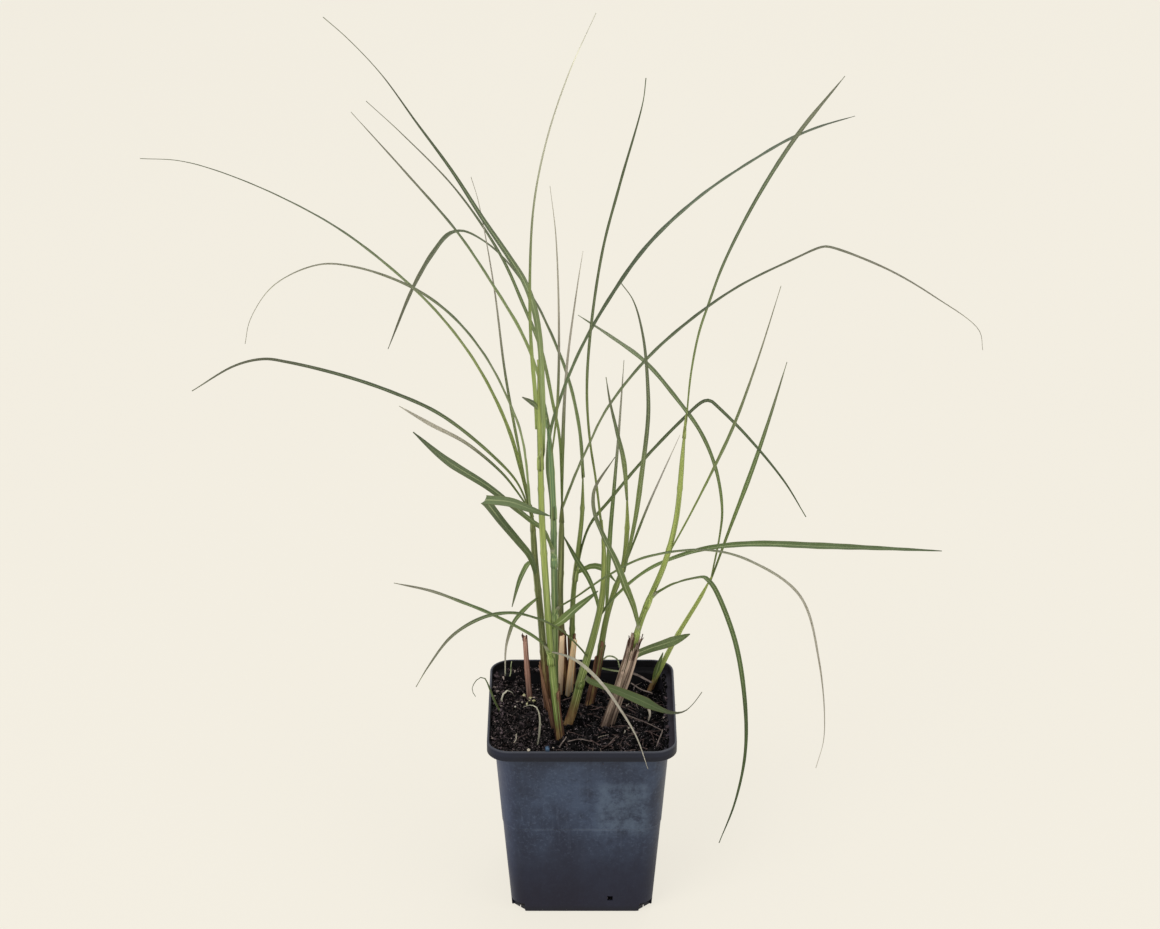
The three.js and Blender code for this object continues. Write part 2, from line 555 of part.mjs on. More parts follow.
// The bundle of split dead sheaths that the right stalk grows out of: flat strips side by side
// around the stalk, which meet at the foot, narrow upwards and splay apart
function sheathBundle(stalk, thick) {
  const { strips, firstStrip, stripThickness, overlap, lapped, stagger } = SHEATH_BUNDLE;
  const { topWidth, splay, reach, shortest, step } = SHEATH_BUNDLE;
  const places = placesAlong(rootedLine(stalk), step);
  const out = thick / 2 + GAP + stripThickness / 2;
  const footWidth = 2 * Math.tan(Math.PI / strips) * out * overlap;
  const random = seededRandom(11);
  const solids = [];
  for (let strip = 0; strip < strips; strip += 1) {
    const around = 2 * Math.PI * (strip + firstStrip) / strips;
    const top = reach * THREE.MathUtils.lerp(shortest, 1, random());
    const rings = places.filter((place) => place.along <= top).map((place) => {
      const { side, face } = frameAt(place.tangent, new THREE.Vector3(1, 0, 0));
      const rise = place.along / reach;
      const away = side.multiplyScalar(Math.cos(around)).addScaledVector(face, Math.sin(around));
      const sideways = away.clone().cross(place.tangent);
      const distance = out + lapped * (strip % 2) + splay[strip % splay.length] * rise * rise;
      const half = footWidth / 2 * THREE.MathUtils.lerp(1, topWidth, rise);
      const thin = stripThickness / 2;
      return [[-half, -thin], [half, -thin], [half, thin], [-half, thin]].map(([u, v]) => place.point.clone()
        .addScaledVector(away, distance + v).addScaledVector(sideways, u)
        .addScaledVector(place.tangent, stagger * strip / strips));
    });
    solids.push(solid(loft(rings)));
  }
  return { bundle: union(solids), outerWidth: 2 * (out + stripThickness) };
}

// The whole plant in its pot
const plant = new THREE.Group();
plant.name = "potted_miscanthus";

function addPart(name, geometry, colour, roughness) {
  const material = new THREE.MeshStandardMaterial({ color: colour, roughness, metalness: 0 });
  const mesh = new THREE.Mesh(geometry, material);
  mesh.name = name;
  plant.add(mesh);
}

const holes = [];

for (const [name, stem] of Object.entries(LEAFY_STEMS)) {
  const stalk = solid(rod(rootedLine(stem.stalk), ...stem.thick));
  const blades = stem.blades.map((leaf) => solid(blade(leaf)));
  addPart(name, geometryOf(union([stalk, ...blades])), stem.colour, 0.55);
  if (name !== "leafy_stem_right") holes.push(soilHole(stem.stalk, stem.thick[0]));
}

const bundled = LEAFY_STEMS.leafy_stem_right;
const { bundle, outerWidth } = sheathBundle(bundled.stalk, bundled.thick[0]);
addPart("dead_sheath_bundle", geometryOf(bundle), SHEATH_BUNDLE.colour, 0.85);
holes.push(soilHole(bundled.stalk, outerWidth + 3 * GAP));

for (const [name, piece] of Object.entries(SOIL_BLADES)) {
  addPart(name, blade({ ...piece, line: rootedLine(piece.line) }), piece.colour, 0.7);
  holes.push(soilHole(piece.line, piece.width));
}

addPart("cut_cane", rod(rootedLine(CUT_CANE.line), ...CUT_CANE.thick), CUT_CANE.colour, 0.8);
holes.push(soilHole(CUT_CANE.line, CUT_CANE.thick[0]));

addPart("dry_leaf", blade(DRY_LEAF), DRY_LEAF.colour, 0.8);
addPart("soil", geometryOf(soilSolid(holes)), 0x2b2320, 0.95);
addPart("pot", geometryOf(potSolid()), 0x2f343d, 0.45);

export default plant;
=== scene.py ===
"""Looks of the potted young silver spider grass: fine blades, sheaths, soil, pot, light and camera."""

import math
import random
from types import SimpleNamespace

import bmesh
import bpy
import numpy as np
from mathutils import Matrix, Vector, noise


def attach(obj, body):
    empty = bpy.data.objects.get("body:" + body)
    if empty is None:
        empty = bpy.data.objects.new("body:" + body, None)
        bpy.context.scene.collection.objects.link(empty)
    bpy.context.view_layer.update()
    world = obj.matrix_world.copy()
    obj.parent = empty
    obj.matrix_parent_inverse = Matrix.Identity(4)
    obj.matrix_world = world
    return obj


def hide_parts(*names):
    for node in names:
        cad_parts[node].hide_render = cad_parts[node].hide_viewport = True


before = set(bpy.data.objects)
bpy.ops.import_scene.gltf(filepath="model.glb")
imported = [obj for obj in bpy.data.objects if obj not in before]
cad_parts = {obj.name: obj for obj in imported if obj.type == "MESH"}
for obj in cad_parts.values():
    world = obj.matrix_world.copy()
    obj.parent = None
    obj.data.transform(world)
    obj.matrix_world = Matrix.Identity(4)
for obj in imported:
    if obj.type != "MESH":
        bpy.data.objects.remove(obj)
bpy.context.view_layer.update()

MM = 0.001

# Driving sizes of the pot and the soil, in millimetres, as the frame has them
POT_WIDTH, POT_HEIGHT = 90.0, 96.0
BODY_WIDTH_TOP, BODY_WIDTH_FOOT = 82.8, 68.0
RIM_BAND, WALL, RIM_CORNER = 5.5, 1.2, 11.0
BODY_CORNER_TOP, BODY_CORNER_FOOT = 13.0, 8.0
MOULD_LINE_HEIGHT, MOULD_LINE_STEP = 49.0, 0.25
FLOOR_THICKNESS, FOOT_RECESS, FOOT_BORDER, FOOT_RIB, FOOT_PAD = 2.5, 1.2, 4.0, 3.0, 9.0
DRAIN_RADIUS, DRAIN_PLACE = 4.0, 17.0
SIDE_DRAIN, SIDE_DRAIN_ACROSS, SIDE_DRAIN_HEIGHT = 2.6, 13.6, 8.0
CORNER_NOTCH, NOTCH_INSET = 9.0, 1.0
SOIL_LEVEL, SOIL_SLOPE, SOIL_CLOD = 86.0, 0.03, 2.2
SOIL_BANK, SOIL_BANK_START = 3.6, 22.0
GAP = 0.35
BAND_FOOT = POT_HEIGHT - RIM_BAND
LEDGE = BAND_FOOT + WALL

# The sight picture: the plant as it is seen from the front, from a little above. A layout line is a row of
# points "across down behind", with behind in millimetres behind the pot's middle.
SIGHT_CENTRE = (580.0, 464.5)
SIGHT_UNITS_PER_SLOPE = 3465.0
SIGHT_WIDTH = 1160.0
SIGHT_DISTANCE = 1614.0
SIGHT_AIM = (-0.9, 0.0, 224.6)
LOOK_DOWN = math.radians(25.87)


def blade(width, tone, dry, line, foot_share=0.5, widest=0.25, tip_power=0.62, broad=None, twist=0,
          dark=(0, 0), all_dry=0):
    """A blade's greatest width and its middle line. tone runs from 0, yellow-green, to 1, blue-green, and
    dry is how far the tip has turned to straw. foot_share is the share of the width at the foot, widest how
    far along the full width comes and tip_power how fast it draws in. broad is the direction across a blade
    that is turned out of the level, twist its turn in degrees, dark the shade number of the lower and the
    upper half, painted shade as a deeper green above 0 and painted light below 0, and all_dry how far the
    whole blade is straw."""
    return SimpleNamespace(**locals())


def stem(tone, shade, thick, line, *blades):
    """A leafy stem: the tone of its stalk and its shade number, painted shade low down on the stalk above 0
    and painted light below 0, how thick the stalk is at both ends, its line from the soil up, and its
    blades."""
    return SimpleNamespace(**locals())


LEAFY_STEMS = {
    "leafy_stem_front": stem(0.35, 0.1, (4, 2.5), """
        560 738 -15, 557 715 -15, 552 665 -15, 547 600 -16, 542 520 -18, 540 440 -20, 538 360 -22""",
        blade(3, 0.7, 0.3, foot_share=0.8, widest=0.3, tip_power=1.2, twist=-40, dark=(0.1, 0.3), line="""
            542 455 -20, 543 425 -21, 542 385 -22, 539.5 340 -20, 534 308 -16, 524 281 -11, 509 257 -5,
            483 219 6, 452 171 20, 416 122 35, 381 74 48, 347 38 58, 323 17 62"""),
        blade(1.6, 0.2, 0.8, foot_share=1.8, dark=(-0.5, -1), line="""
            538 430 -20, 536 400 -21, 531 340 -22, 530 276 -20, 534 204 -12, 547 139 -2, 569 73 10,
            596 13 20"""),
        blade(3.2, 0.8, 0.5, foot_share=0.8, widest=0.45, broad=(-0.3, 0.8, 0.5), twist=10,
            dark=(0.1, 0.1), line="""
            549 648 -15, 533 636 -18, 495 616 -24, 456 600 -30, 431 591 -34, 394 583 -40"""),
        blade(4.4, 0.35, 0, widest=0.3, broad=(-0.6, 0.35, 0.8), twist=-15, line="""
            550 628 -15.5, 560 622 -14, 575 609 -13, 588 599 -13, 598 591 -15"""),
        blade(2.4, 0.5, 0.3, widest=0.5, broad=(0.4, 0.3, 0.8), line="""
            540 412 -20, 534 404 -23, 522 397 -28""")),
    "leafy_stem_tall": stem(1, 0.35, (3.6, 2.8), """
        557 714 9, 555 680 8, 555 630 6, 554 560 4, 553 500 2, 549 435 0, 545 405 -1""",
        blade(3, 0.6, 0.45, twist=10, dark=(-0.3, 0.2), line="""
            546 412 -1, 538 375 3, 522 334 8, 491 282 18, 457 232 30, 406 173 42, 351 112 52"""),
        blade(1.3, 0.3, 1, dark=(0, -0.6), line="""
            551 460 1, 557 410 -6, 559 340 -14, 556 238 -26, 550 186 -32"""),
        blade(2.9, 1, 0.1, foot_share=0.9, widest=0.85, twist=-8, dark=(0.6, 0.1), line="""
            553 505 2, 548 470 5, 550 435 8, 560 400 12, 580 351 20, 610 298 31, 648 245 44, 702 195 62,
            765 153 83, 791 138.5 91, 820 126.5 100, 855 116 110"""),
        blade(3.8, 0.6, 0, widest=0.75, broad=(0.5, 0.3, 0.8), twist=18, dark=(0.3, 0.3), line="""
            554 552 4, 543 529 -4, 533 522 -8, 518 510 -12, 487 486 -20, 446 460 -28, 413 432 -34"""),
        blade(2.2, 0.8, 0.8, foot_share=0.8, twist=12, line="""
            556 608 5, 575 597 -2, 605 577 -12, 643 558 -22, 704 550 -38, 750 561 -53, 800 596 -69,
            819 661 -82, 824 737 -91, 816 768 -93""")),
    "leafy_stem_middle": stem(0.45, 1, (4, 2.8), """
        565 690 32, 563 660 31, 560 600 29, 561 560 27, 562 500 25""",
        blade(2.1, 0.5, 0.4, twist=-8, dark=(-0.3, 0.2), line="""
            562 508 25, 559 435 27, 553 405 29, 541 350 34, 522 302 41, 501 256 50, 457 191 70,
            401 133 95, 366 101 110"""),
        blade(2.6, 0.85, 0.5, foot_share=1, broad=(0.2, 1, 0.3), twist=10, dark=(0.3, 0.3), line="""
            562 508 25, 577 470 10, 587 448 -1, 606 410 -11, 645 361 -20, 683 326 -27, 736 288 -37,
            794 259 -48, 822 247 -54, 830 247 -56, 887 269 -65, 935 297 -73, 979 330 -80,
            983 350 -81"""),
        blade(2, 0.4, 1, "562 508 25, 563 440 27, 567 366 31, 577 289 38, 583 251 42")),
    "leafy_stem_left": stem(0.5, 0.9, (3.8, 3), """
        549 709 13, 545 670 12, 541 620 11, 538 590 10, 535 560 9, 533 530 8, 531 505 7""",
        blade(3.1, 0.1, 0.15, foot_share=0.9, widest=0.1, tip_power=0.7, twist=8,
            dark=(-0.2, 0.7), line="""
            532 518 7, 522 475 12, 507 426 19, 481 372 28, 452 330 36, 413 288 47, 345 233 63,
            279 196 79, 215 170 93, 178 160.5 100, 140 158.5 107"""),
        blade(3.4, 0.9, 0.6, foot_share=0.9, widest=0.15, tip_power=0.95, broad=(-0.35, 0.93, 0.5),
            twist=-10, dark=(-0.2, -0.2), line="""
            532 522 7.5, 523 440 0, 510 403 -4, 486 357 -9, 452 316 -16, 413 288 -24, 355 267 -36,
            317 265 -43, 273 286 -51, 250 320 -57, 245 344 -59"""),
        blade(1.5, 0.4, 0.8, line="""
            532 518 7, 522 466 12, 511 408 19, 504 366 25, 494 287 36, 478 200 44, 471 177 46"""),
        blade(2, 0.7, 0.3, foot_share=0.6, widest=0.4, tip_power=0.4, broad=(0.2, 0.6, 0.8),
            twist=12, line="""
            533 520 7, 518 484 -2, 495 458 -12, 441 415 -34, 394 393 -51, 341 375 -68, 287 362 -84,
            263 359 -91, 234 366 -99, 192 391 -110"""),
        blade(2, 0.7, 0.8, foot_share=0.35, widest=0.8, broad=(0.3, 0.6, 0.8), twist=-12, line="""
            532 514 7, 518 493 10, 502 473 12, 466 443 16, 430 424 20, 399 406 22"""),
        blade(4.6, 0.9, 0, foot_share=0.6, widest=0.85, broad=(0.5, 0, 1), dark=(0.6, -0.1), line="""
            537 575 9.5, 530 556 2, 518 541 -6, 502 522 -16, 488 504 -25, 484 500 -28, 489 500 -30,
            510 502 -34, 533 510 -38, 550 516 -41"""),
        blade(3.4, 0.6, 0.25, twist=10, line="536 564 9, 530 562 6, 521 577 0, 516 592 -4, 512 607 -6"),
        blade(2.6, 0.7, 0.75, "539 597 10, 527 607 4, 514 622 -1, 509 635 -3, 506 648 -4, 505 676 -5")),
    "leafy_stem_low": stem(0.25, 0.35, (4.8, 2.2), """
        567 727 -4, 573 710 -4, 583 672 -4, 593 638 -3, 602 598 -2, 604 560 -1, 602 520 0""",
        blade(1.6, 0.3, 0.1, foot_share=0.9, widest=0.75, tip_power=0.7, twist=-10, dark=(0, 0.3), line="""
            602 530 0, 596 480 4, 590 440 9, 587 390 13, 591 328 17, 603 249 23, 620 184 28, 643 102 33,
            646 78 34"""),
        blade(3.8, 0.7, 0, foot_share=0.55, widest=0.7, tip_power=0.5, broad=(0, 1, 0.25), twist=8,
            dark=(0.1, 0.4), line="""
            598 618 -2.5, 615 597 1, 643 573 6, 666 561 8, 704 549 6, 751 544 0, 820 546 -10,
            942 551 -26"""),
        blade(2.6, 0.3, 0.1, widest=0.6, broad=(0.9, 0.2, 0.4), line="""
            599.5 612 -2.4, 596 597 6, 588 577 10, 577 560 10, 563 535 9"""),
        blade(2.6, 0.8, 0.4, widest=0.5, broad=(-0.4, 0.9, 0.4), twist=10, dark=(0.2, 0.2), line="""
            589 658 -3.5, 577 644 -14, 560 629 -24, 539 619 -32, 511 613 -42, 482 618 -52, 451 637 -65,
            428 667 -76, 416 687 -82"""),
        blade(5, 0.55, 0.45, widest=0.5, tip_power=2.2, broad=(0.1, 0.44, 0.9), twist=-10,
            dark=(0.9, 0.9), line="""
            583 674 -4, 590 681 -8, 601 685 -10, 617 690.5 -13, 640 700 -13, 657 708 -12, 668 712 -12,
            677 713 -12, 685 711 -12, 693 704 -11, 702 692 -10""")),
    "leafy_stem_back": stem(0.5, 0.15, (3.2, 2), """
        572 686 36, 572 655 35, 573 600 34, 577 560 33, 582 515 31, 583 470 30""",
        blade(3.2, 0.8, 0.3, foot_share=0.85, widest=0.75, broad=(-0.5, -0.6, 0.5), twist=10,
            dark=(0.3, 0.3), line="""
            583 478 30, 579 428 35, 567 375 43, 545 320 52, 531 294 57, 506 260 62, 486 242 68,
            466 231.5 73, 458 231 74, 449 234 75, 433 253 78, 413 288 82, 388 349 84"""),
        blade(2.1, 0.8, 0.1, foot_share=0.8, widest=0.3, tip_power=0.45, broad=(0, 0.44, 0.9),
            twist=-10, dark=(0.2, 0.2), line="""
            576 566 33, 590 525 31, 610 500 28, 640 464 24, 680 422 18, 704 401 14, 711 401 12,
            717 406 10, 746 435 2, 784 481 -8, 806 517 -16"""),
        blade(3.2, 0.4, 0, widest=0.5, broad=(0, 0.44, 0.9), dark=(-0.2, -0.2), line="""
            576 573 33, 592 566 35, 602 568 36, 616 582 38""")),
    "leafy_stem_forked": stem(0.35, 0.35, (3.6, 2.2), """
        590 703 19, 598 665 18, 606 620 17, 614 592 16, 623 567 15, 627 530 14, 627 490 13""",
        blade(2.4, 0.5, 0.3, dark=(-0.1, -0.1), line="""
            627 500 13, 624 463 2, 617 432 -12, 610 402 -28, 606 377 -42"""),
        blade(2.5, 0.35, 0.15, twist=8, line="""
            624 572 15, 635 521 5, 641 480 -8, 648 420 -28, 648 391 -39, 643 336 -63, 633 300 -79,
            621 283 -87"""),
        blade(1.4, 0.5, 1, "624 568 15, 646 511 30, 660 479 50, 680 435 74"),
        blade(2.3, 0.4, 0.6, twist=-8, dark=(-0.2, -0.2), line="""
            606 622 17, 610 537 36, 614 490 53, 619 430 78, 624 360 108""")),
    "leafy_stem_right": stem(0.15, -0.15, (3.4, 2.4), """
        607.5 724 -2, 618 695 -2, 628 665 -3, 640.5 622 -4, 650 598 -4, 664 565 -5, 676 520 -7,
        683 450 -9, 686 415 -10""",
        blade(2.3, 0.6, 0.3, foot_share=0.35, widest=0.85, twist=10, line="""
            686 425 -10, 691 374 -6, 699 333 0, 709 303 6, 724 263 14, 756 200 28, 796 137 44,
            845 76 60"""),
        blade(1.8, 0.2, 0.55, widest=0.4, twist=-10, dark=(-0.3, -0.3), line="""
            669 553 -5.5, 690 515 -14, 715 466 -27, 734 425 -39, 757 362 -58, 781 286 -80"""),
        blade(2.3, 0.9, 0.1, foot_share=1, widest=0.5, tip_power=0.5, twist=12, dark=(0.3, 0.7), line="""
            654 594 -4, 674 583 -14, 696 577.5 -26, 705 577.5 -31, 709 581 -33, 715 589 -35,
            735 641 -42, 745 704 -48, 745 754 -53, 735 802 -58, 719 843 -62"""),
        blade(3.6, 0.4, 0.35, line="""
            639 628 -4, 633 605 -14, 626 588 -23, 616 562 -33, 603 535 -42, 595 515 -48, 593 500 -52,
            595 488 -54, 615 457 -62""")),
    "leafy_stem_far_right": stem(0.1, -0.7, (3, 2), """
        651 688 34, 660 669 34, 677 636 34, 700 598 33, 712 576 33""",
        blade(3.2, 0.5, 0.2, foot_share=0.3, widest=0.8, twist=-8, dark=(-0.1, -0.1), line="""
            711 580 33, 720 533 34, 722 509 36, 716 470 40, 701 433 45, 676 398 52, 645 362 61,
            610 336 73, 578 315 84"""),
        blade(2.5, 0.35, 0.35, foot_share=0.35, widest=0.45, twist=8, dark=(-0.2, -0.2), line="""
            711 580 33, 729 531 39, 751 473 50, 769 420 63, 787 362 80"""),
        blade(3, 0.3, 0, widest=0.4, broad=(1, 0, 0), line="653 683 34, 657.5 668 32.5, 663 652.5 31")),
}

# Single blades that stand in the soil
SINGLE_BLADES = {
    "pale_shoot_front": blade(1.1, 0.1, 0, all_dry=0.75, dark=(-0.3, -0.3), line="""
        537 748 -26, 539.5 731 -26, 539.5 716 -25, 537 708 -23, 531 705 -20, 523 707 -17"""),
    "pale_shoot_left": blade(1.4, 0.3, 0, all_dry=1, dark=(-1, -1), line="""
        503 710 9, 501.5 703 9, 502 697 9.5, 504.5 692.3 10, 508 690.3 11, 512 692 12,
        514.3 696.5 12"""),
    "curled_blade_left": blade(1.5, 0.8, 0, all_dry=0.05, dark=(0.2, 0.2), twist=40, line="""
        503 719 0.5, 500 711 0.5, 496 704 0, 492 695 -1, 488.5 686 -1, 485.5 679 0, 482.5 677 0,
        478 678.5 -1, 473.5 684 -2, 472 690.5 -2, 475.5 696.5 -2"""),
    "short_leaf_right": blade(4.8, 0.6, 0, foot_share=0.2, widest=0.85, broad=(-0.2, 0.3, 0.9),
        all_dry=0.1, line="""
        613 709.5 12, 621 686 12, 628.5 666 12, 636 655 12, 649 649 12, 663 644.5 12, 677 639.5 12,
        690 634 12"""),
}
# Dead strips that stand in the soil: width and middle line
DEAD_STRIPS = {
    "dead_sheath_pale": (3.8, "569 692 28, 571.5 665 27, 574.5 640 26"),
    "dead_sheath_brown": (3.6, "559 692 27, 561 665 26, 562 640 25"),
    "dead_twig": (1.6, "552 724 -9, 547 700 -9, 543 680 -9, 540 667 -9"),
}
DRY_LEAF = blade(1.8, 0.2, 1, twist=25, all_dry=0.7, line="""
    552 652 -17.8, 560 654 -20, 577 661 -24, 602 684 -31, 622 712 -38, 637 738 -45, 648 769 -52""")
CANE_THICK, CANE_LINE = (2.7, 2.3), "529.5 697 24, 527 668 24, 525 638 24"

# Lines and the directions across them


def sighted(point):
    """The real place, in millimetres, of a layout point."""
    across, down, behind = point
    cos, sin = math.cos(LOOK_DOWN), math.sin(LOOK_DOWN)
    right = (across - SIGHT_CENTRE[0]) / SIGHT_UNITS_PER_SLOPE
    rise = (SIGHT_CENTRE[1] - down) / SIGHT_UNITS_PER_SLOPE
    eye = np.array(SIGHT_AIM) + SIGHT_DISTANCE * np.array([0.0, -cos, sin])
    ray = np.array([right, cos + rise * sin, rise * cos - sin])
    return eye + ray * (behind - eye[1]) / ray[1]


def lengths(points):
    """How far along a line each of its points lies."""
    return np.concatenate([[0], np.cumsum(np.linalg.norm(np.diff(points, axis=0), axis=1))])


def respaced(points, places):
    """The points of a line at these lengths along it."""
    run = lengths(points)
    return np.stack([np.interp(places, run, column) for column in points.T], axis=1)


def smooth_line(line, step, pieces=24):
    """Even points, step millimetres apart, on a centripetal Catmull-Rom curve through a layout line."""
    knots = [sighted([float(n) for n in point.split()]) for point in line.split(",")]
    knots = [2 * knots[0] - knots[1]] + knots + [2 * knots[-1] - knots[-2]]
    dense = []
    for a, b, c, d in zip(knots, knots[1:], knots[2:], knots[3:]):
        ta, tb, tc = (max(np.linalg.norm(q - p), 1e-4) ** 0.5 for p, q in ((a, b), (b, c), (c, d)))
        start = ((b - a) / ta - (c - a) / (ta + tb) + (c - b) / tb) * tb
        end = ((c - b) / tb - (d - b) / (tb + tc) + (d - c) / tc) * tb
        for t in np.linspace(0, 1, pieces, endpoint=False):
            dense.append(b + start * t + (3 * (c - b) - 2 * start - end) * t * t
                         + (2 * (b - c) + start + end) * t ** 3)
    dense = np.array(dense + [knots[-2]])
    length = lengths(dense)[-1]
    return respaced(dense, np.linspace(0, length, max(4, int(length / step))))


def rooted(line, depth):
    """The line with its foot carried on into the soil."""
    return np.concatenate([[line[0] + unit(line[0] - line[1]) * depth], line])


def unit(v):
    return v / np.maximum(np.linalg.norm(v, axis=-1, keepdims=True), 1e-9)


def framed(points, sideways=(1.0, 0.0, 0.0)):
    """The way a line runs at each of its points, and two directions across it."""
    way = unit(np.gradient(points, axis=0))
    side = unit(sideways - way * np.sum(way * sideways, axis=1)[:, None])
    return way, side, np.cross(way, side)


def rings_along(middle, side, face, x, v):
    """One ring of points for each place on a line, x to its side and v to its face."""
    return middle[:, None, :] + side[:, None, :] * x[:, :, None] + face[:, None, :] * v[:, :, None]


def circle(sides):
    return np.linspace(0, 2 * np.pi, sides, endpoint=False)[None, :]


def tube(points, radius, turn, sideways=(1.0, 0.0, 0.0), oval=1.0):
    """Round rings about a line, with this radius at each of the turns."""
    _, side, face = framed(points, sideways)
    return rings_along(points, side, face, radius * np.cos(turn), radius * oval * np.sin(turn))


def outward(side, face, turn):
    """The direction away from a line at this turn about it."""
    return side * math.cos(turn) + face * math.sin(turn)


def closed(front, back):
    """A thin section's outline: out along its back and home along its front."""
    return np.concatenate([back, front[:, ::-1]], axis=1)


def shares(count):
    """How far along a line each of its points stands, from 0 to 1."""
    return np.linspace(0, 1, count)[:, None]


def rise_above_soil(middle):
    """In tenths of a metre, as the materials read it."""
    return np.maximum(middle[:, 2:3] - SOIL_LEVEL, 0) / 100


def smoothstep(x, low=0.0, high=1.0):
    t = np.clip((np.asarray(x, float) - low) / (high - low), 0, 1)
    return t * t * (3 - 2 * t)


# Meshes

ATTRIBUTES = ("along", "across", "tone", "dry", "rise", "sheath", "shade")


def linked(name, data):
    thing = bpy.data.objects.new(name, data)
    bpy.context.collection.objects.link(thing)
    return thing


class Build:
    """Gathers grids of points into one mesh, with the numbers that the materials read at each point."""

    def __init__(self):
        self.points, self.faces, self.slots = [], [], []
        self.numbers = {name: [] for name in ATTRIBUTES}
        self.count = 0

    def grid(self, rings, slot=0, **numbers):
        """A closed tube through the rings, an array (stations, columns, 3) in millimetres."""
        stations, columns = rings.shape[:2]
        index = np.arange(stations * columns).reshape(stations, columns)
        after = np.roll(index, -1, axis=1)
        walls = np.stack([index[:-1], after[:-1], after[1:], index[1:]], axis=-1).reshape(-1, 4)
        caps = [index[0][::-1], index[-1]]
        self.chunk(rings.reshape(-1, 3), [*walls.tolist(), *caps], slot, (stations, columns), **numbers)

    def chunk(self, points, faces, slot=0, shape=None, **numbers):
        self.faces += [tuple(int(v) + self.count for v in face) for face in faces]
        self.slots += [slot] * len(faces)
        self.points.append(points)
        for name in ATTRIBUTES:
            value = np.broadcast_to(np.asarray(numbers.get(name, 0.0), float), shape or (len(points), 1))
            self.numbers[name].append(value.reshape(-1))
        self.count += len(points)

    def lump(self, lump, place, slot, tone):
        points, faces = lump
        self.chunk(points + np.array(place), faces, slot, tone=tone)

    def mesh(self, name):
        mesh = bpy.data.meshes.new(name)
        mesh.from_pydata((np.concatenate(self.points) * MM).tolist(), [], self.faces)
        return mesh

    def piece(self, name, materials, node=None, slot=None, smooth=True):
        mesh = self.mesh(name)
        mesh.polygons.foreach_set("material_index", self.slots)
        mesh.polygons.foreach_set("use_smooth", [smooth] * len(self.faces))
        for key, values in self.numbers.items():
            layer = mesh.attributes.new(key, "FLOAT", "POINT")
            layer.data.foreach_set("value", np.concatenate(values))
        for material in materials:
            mesh.materials.append(material)
        mesh.validate()
        declare(linked(name, mesh), node, slot)


def declare(piece, node, slot):
    """Hangs a finished piece on the root and hides the model part that it stands for. slot, what it is made
    of, is not used.
    """
    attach(piece, "root")
    if node:
        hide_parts(node)


# Materials


def linear(*rgb):
    """A colour as it is seen, 0 to 255, as the linear values that a material takes."""
    return tuple((c / 255 / 12.92) if c <= 10 else ((c / 255 + 0.055) / 1.055) ** 2.4 for c in rgb) + (1.0,)


class Value:
    """What a node gives out, to reckon and paint with."""

    def __init__(self, nodes, socket):
        self.nodes, self.socket = nodes, socket

    def __add__(self, other):
        return self.nodes.math("ADD", self, other)

    def __sub__(self, other):
        return self.nodes.math("SUBTRACT", self, other)

    def __mul__(self, other):
        return self.nodes.math("MULTIPLY", self, other)

    def __truediv__(self, other):
        return self.nodes.math("DIVIDE", self, other)

    def __abs__(self):
        return self.nodes.math("ABSOLUTE", self)

    def at_least(self, least):
        return self.nodes.math("MAXIMUM", self, least)

    def span(self, low, high, to_low=0.0, to_high=1.0):
        """to_low where the value is below low, to_high above high, and smooth between."""
        ends = (self, low, high, to_low, to_high)
        return self.nodes.add("MapRange", ends, interpolation_type="SMOOTHSTEP")

    def paint(self, share, *rgb):
        """Lays a share of another colour over this one."""
        self.socket = self.nodes.mix(share, self, rgb).socket
        return self


class Nodes:
    """A material's nodes. A plain tuple is a colour as it is seen."""

    def __init__(self, name):
        self.material = bpy.data.materials.new(name)
        self.material.use_nodes = True
        self.tree = self.material.node_tree
        self.shader = self.tree.nodes["Principled BSDF"]

    def link(self, value, socket):
        if isinstance(value, Value):
            self.tree.links.new(value.socket, socket)
        else:
            socket.default_value = value

    def add(self, kind, values=(), output=0, **settings):
        """One node with its settings and inputs, as what it gives out."""
        node = self.tree.nodes.new("ShaderNode" + kind)
        for name, value in settings.items():
            setattr(node, name, value)
        for key, value in values.items() if isinstance(values, dict) else enumerate(values):
            self.link(value, node.inputs[key])
        return Value(self, node.outputs[output])

    def number(self, name):
        return self.add("Attribute", output="Fac", attribute_name=name)

    def place(self):
        return self.add("TexCoord", output="Object")

    def axis(self, place, name):
        return self.add("SeparateXYZ", (place,), name)

    def math(self, operation, a, b=0.0):
        return self.add("Math", (a, b), operation=operation)

    def mix(self, share, a, b):
        a, b = (linear(*c) if isinstance(c, tuple) else c for c in (a, b))
        return self.add("Mix", {"Factor": share, 6: a, 7: b}, 2, data_type="RGBA")

    def vector(self, x, y, z):
        return self.add("CombineXYZ", (x, y, z))

    def scaled(self, vector, x, y, z):
        return self.add("VectorMath", (vector, (x, y, z)), operation="MULTIPLY")

    def noise(self, vector, scale, detail=3.0, rough=0.55):
        return self.add("TexNoise", dict(Vector=vector, Scale=scale, Detail=detail, Roughness=rough), "Fac")

    def finish(self, colour, roughness, specular, relief=None, depth=0.0):
        """The material, with its relief in metres of depth."""
        if relief:
            self.link(self.add("Bump", dict(Strength=1.0, Distance=depth, Height=relief), "Normal"),
                      self.shader.inputs["Normal"])
        self.link(colour, self.shader.inputs["Base Color"])
        self.link(roughness, self.shader.inputs["Roughness"])
        self.shader.inputs["Specular IOR Level"].default_value = specular
        return self.material


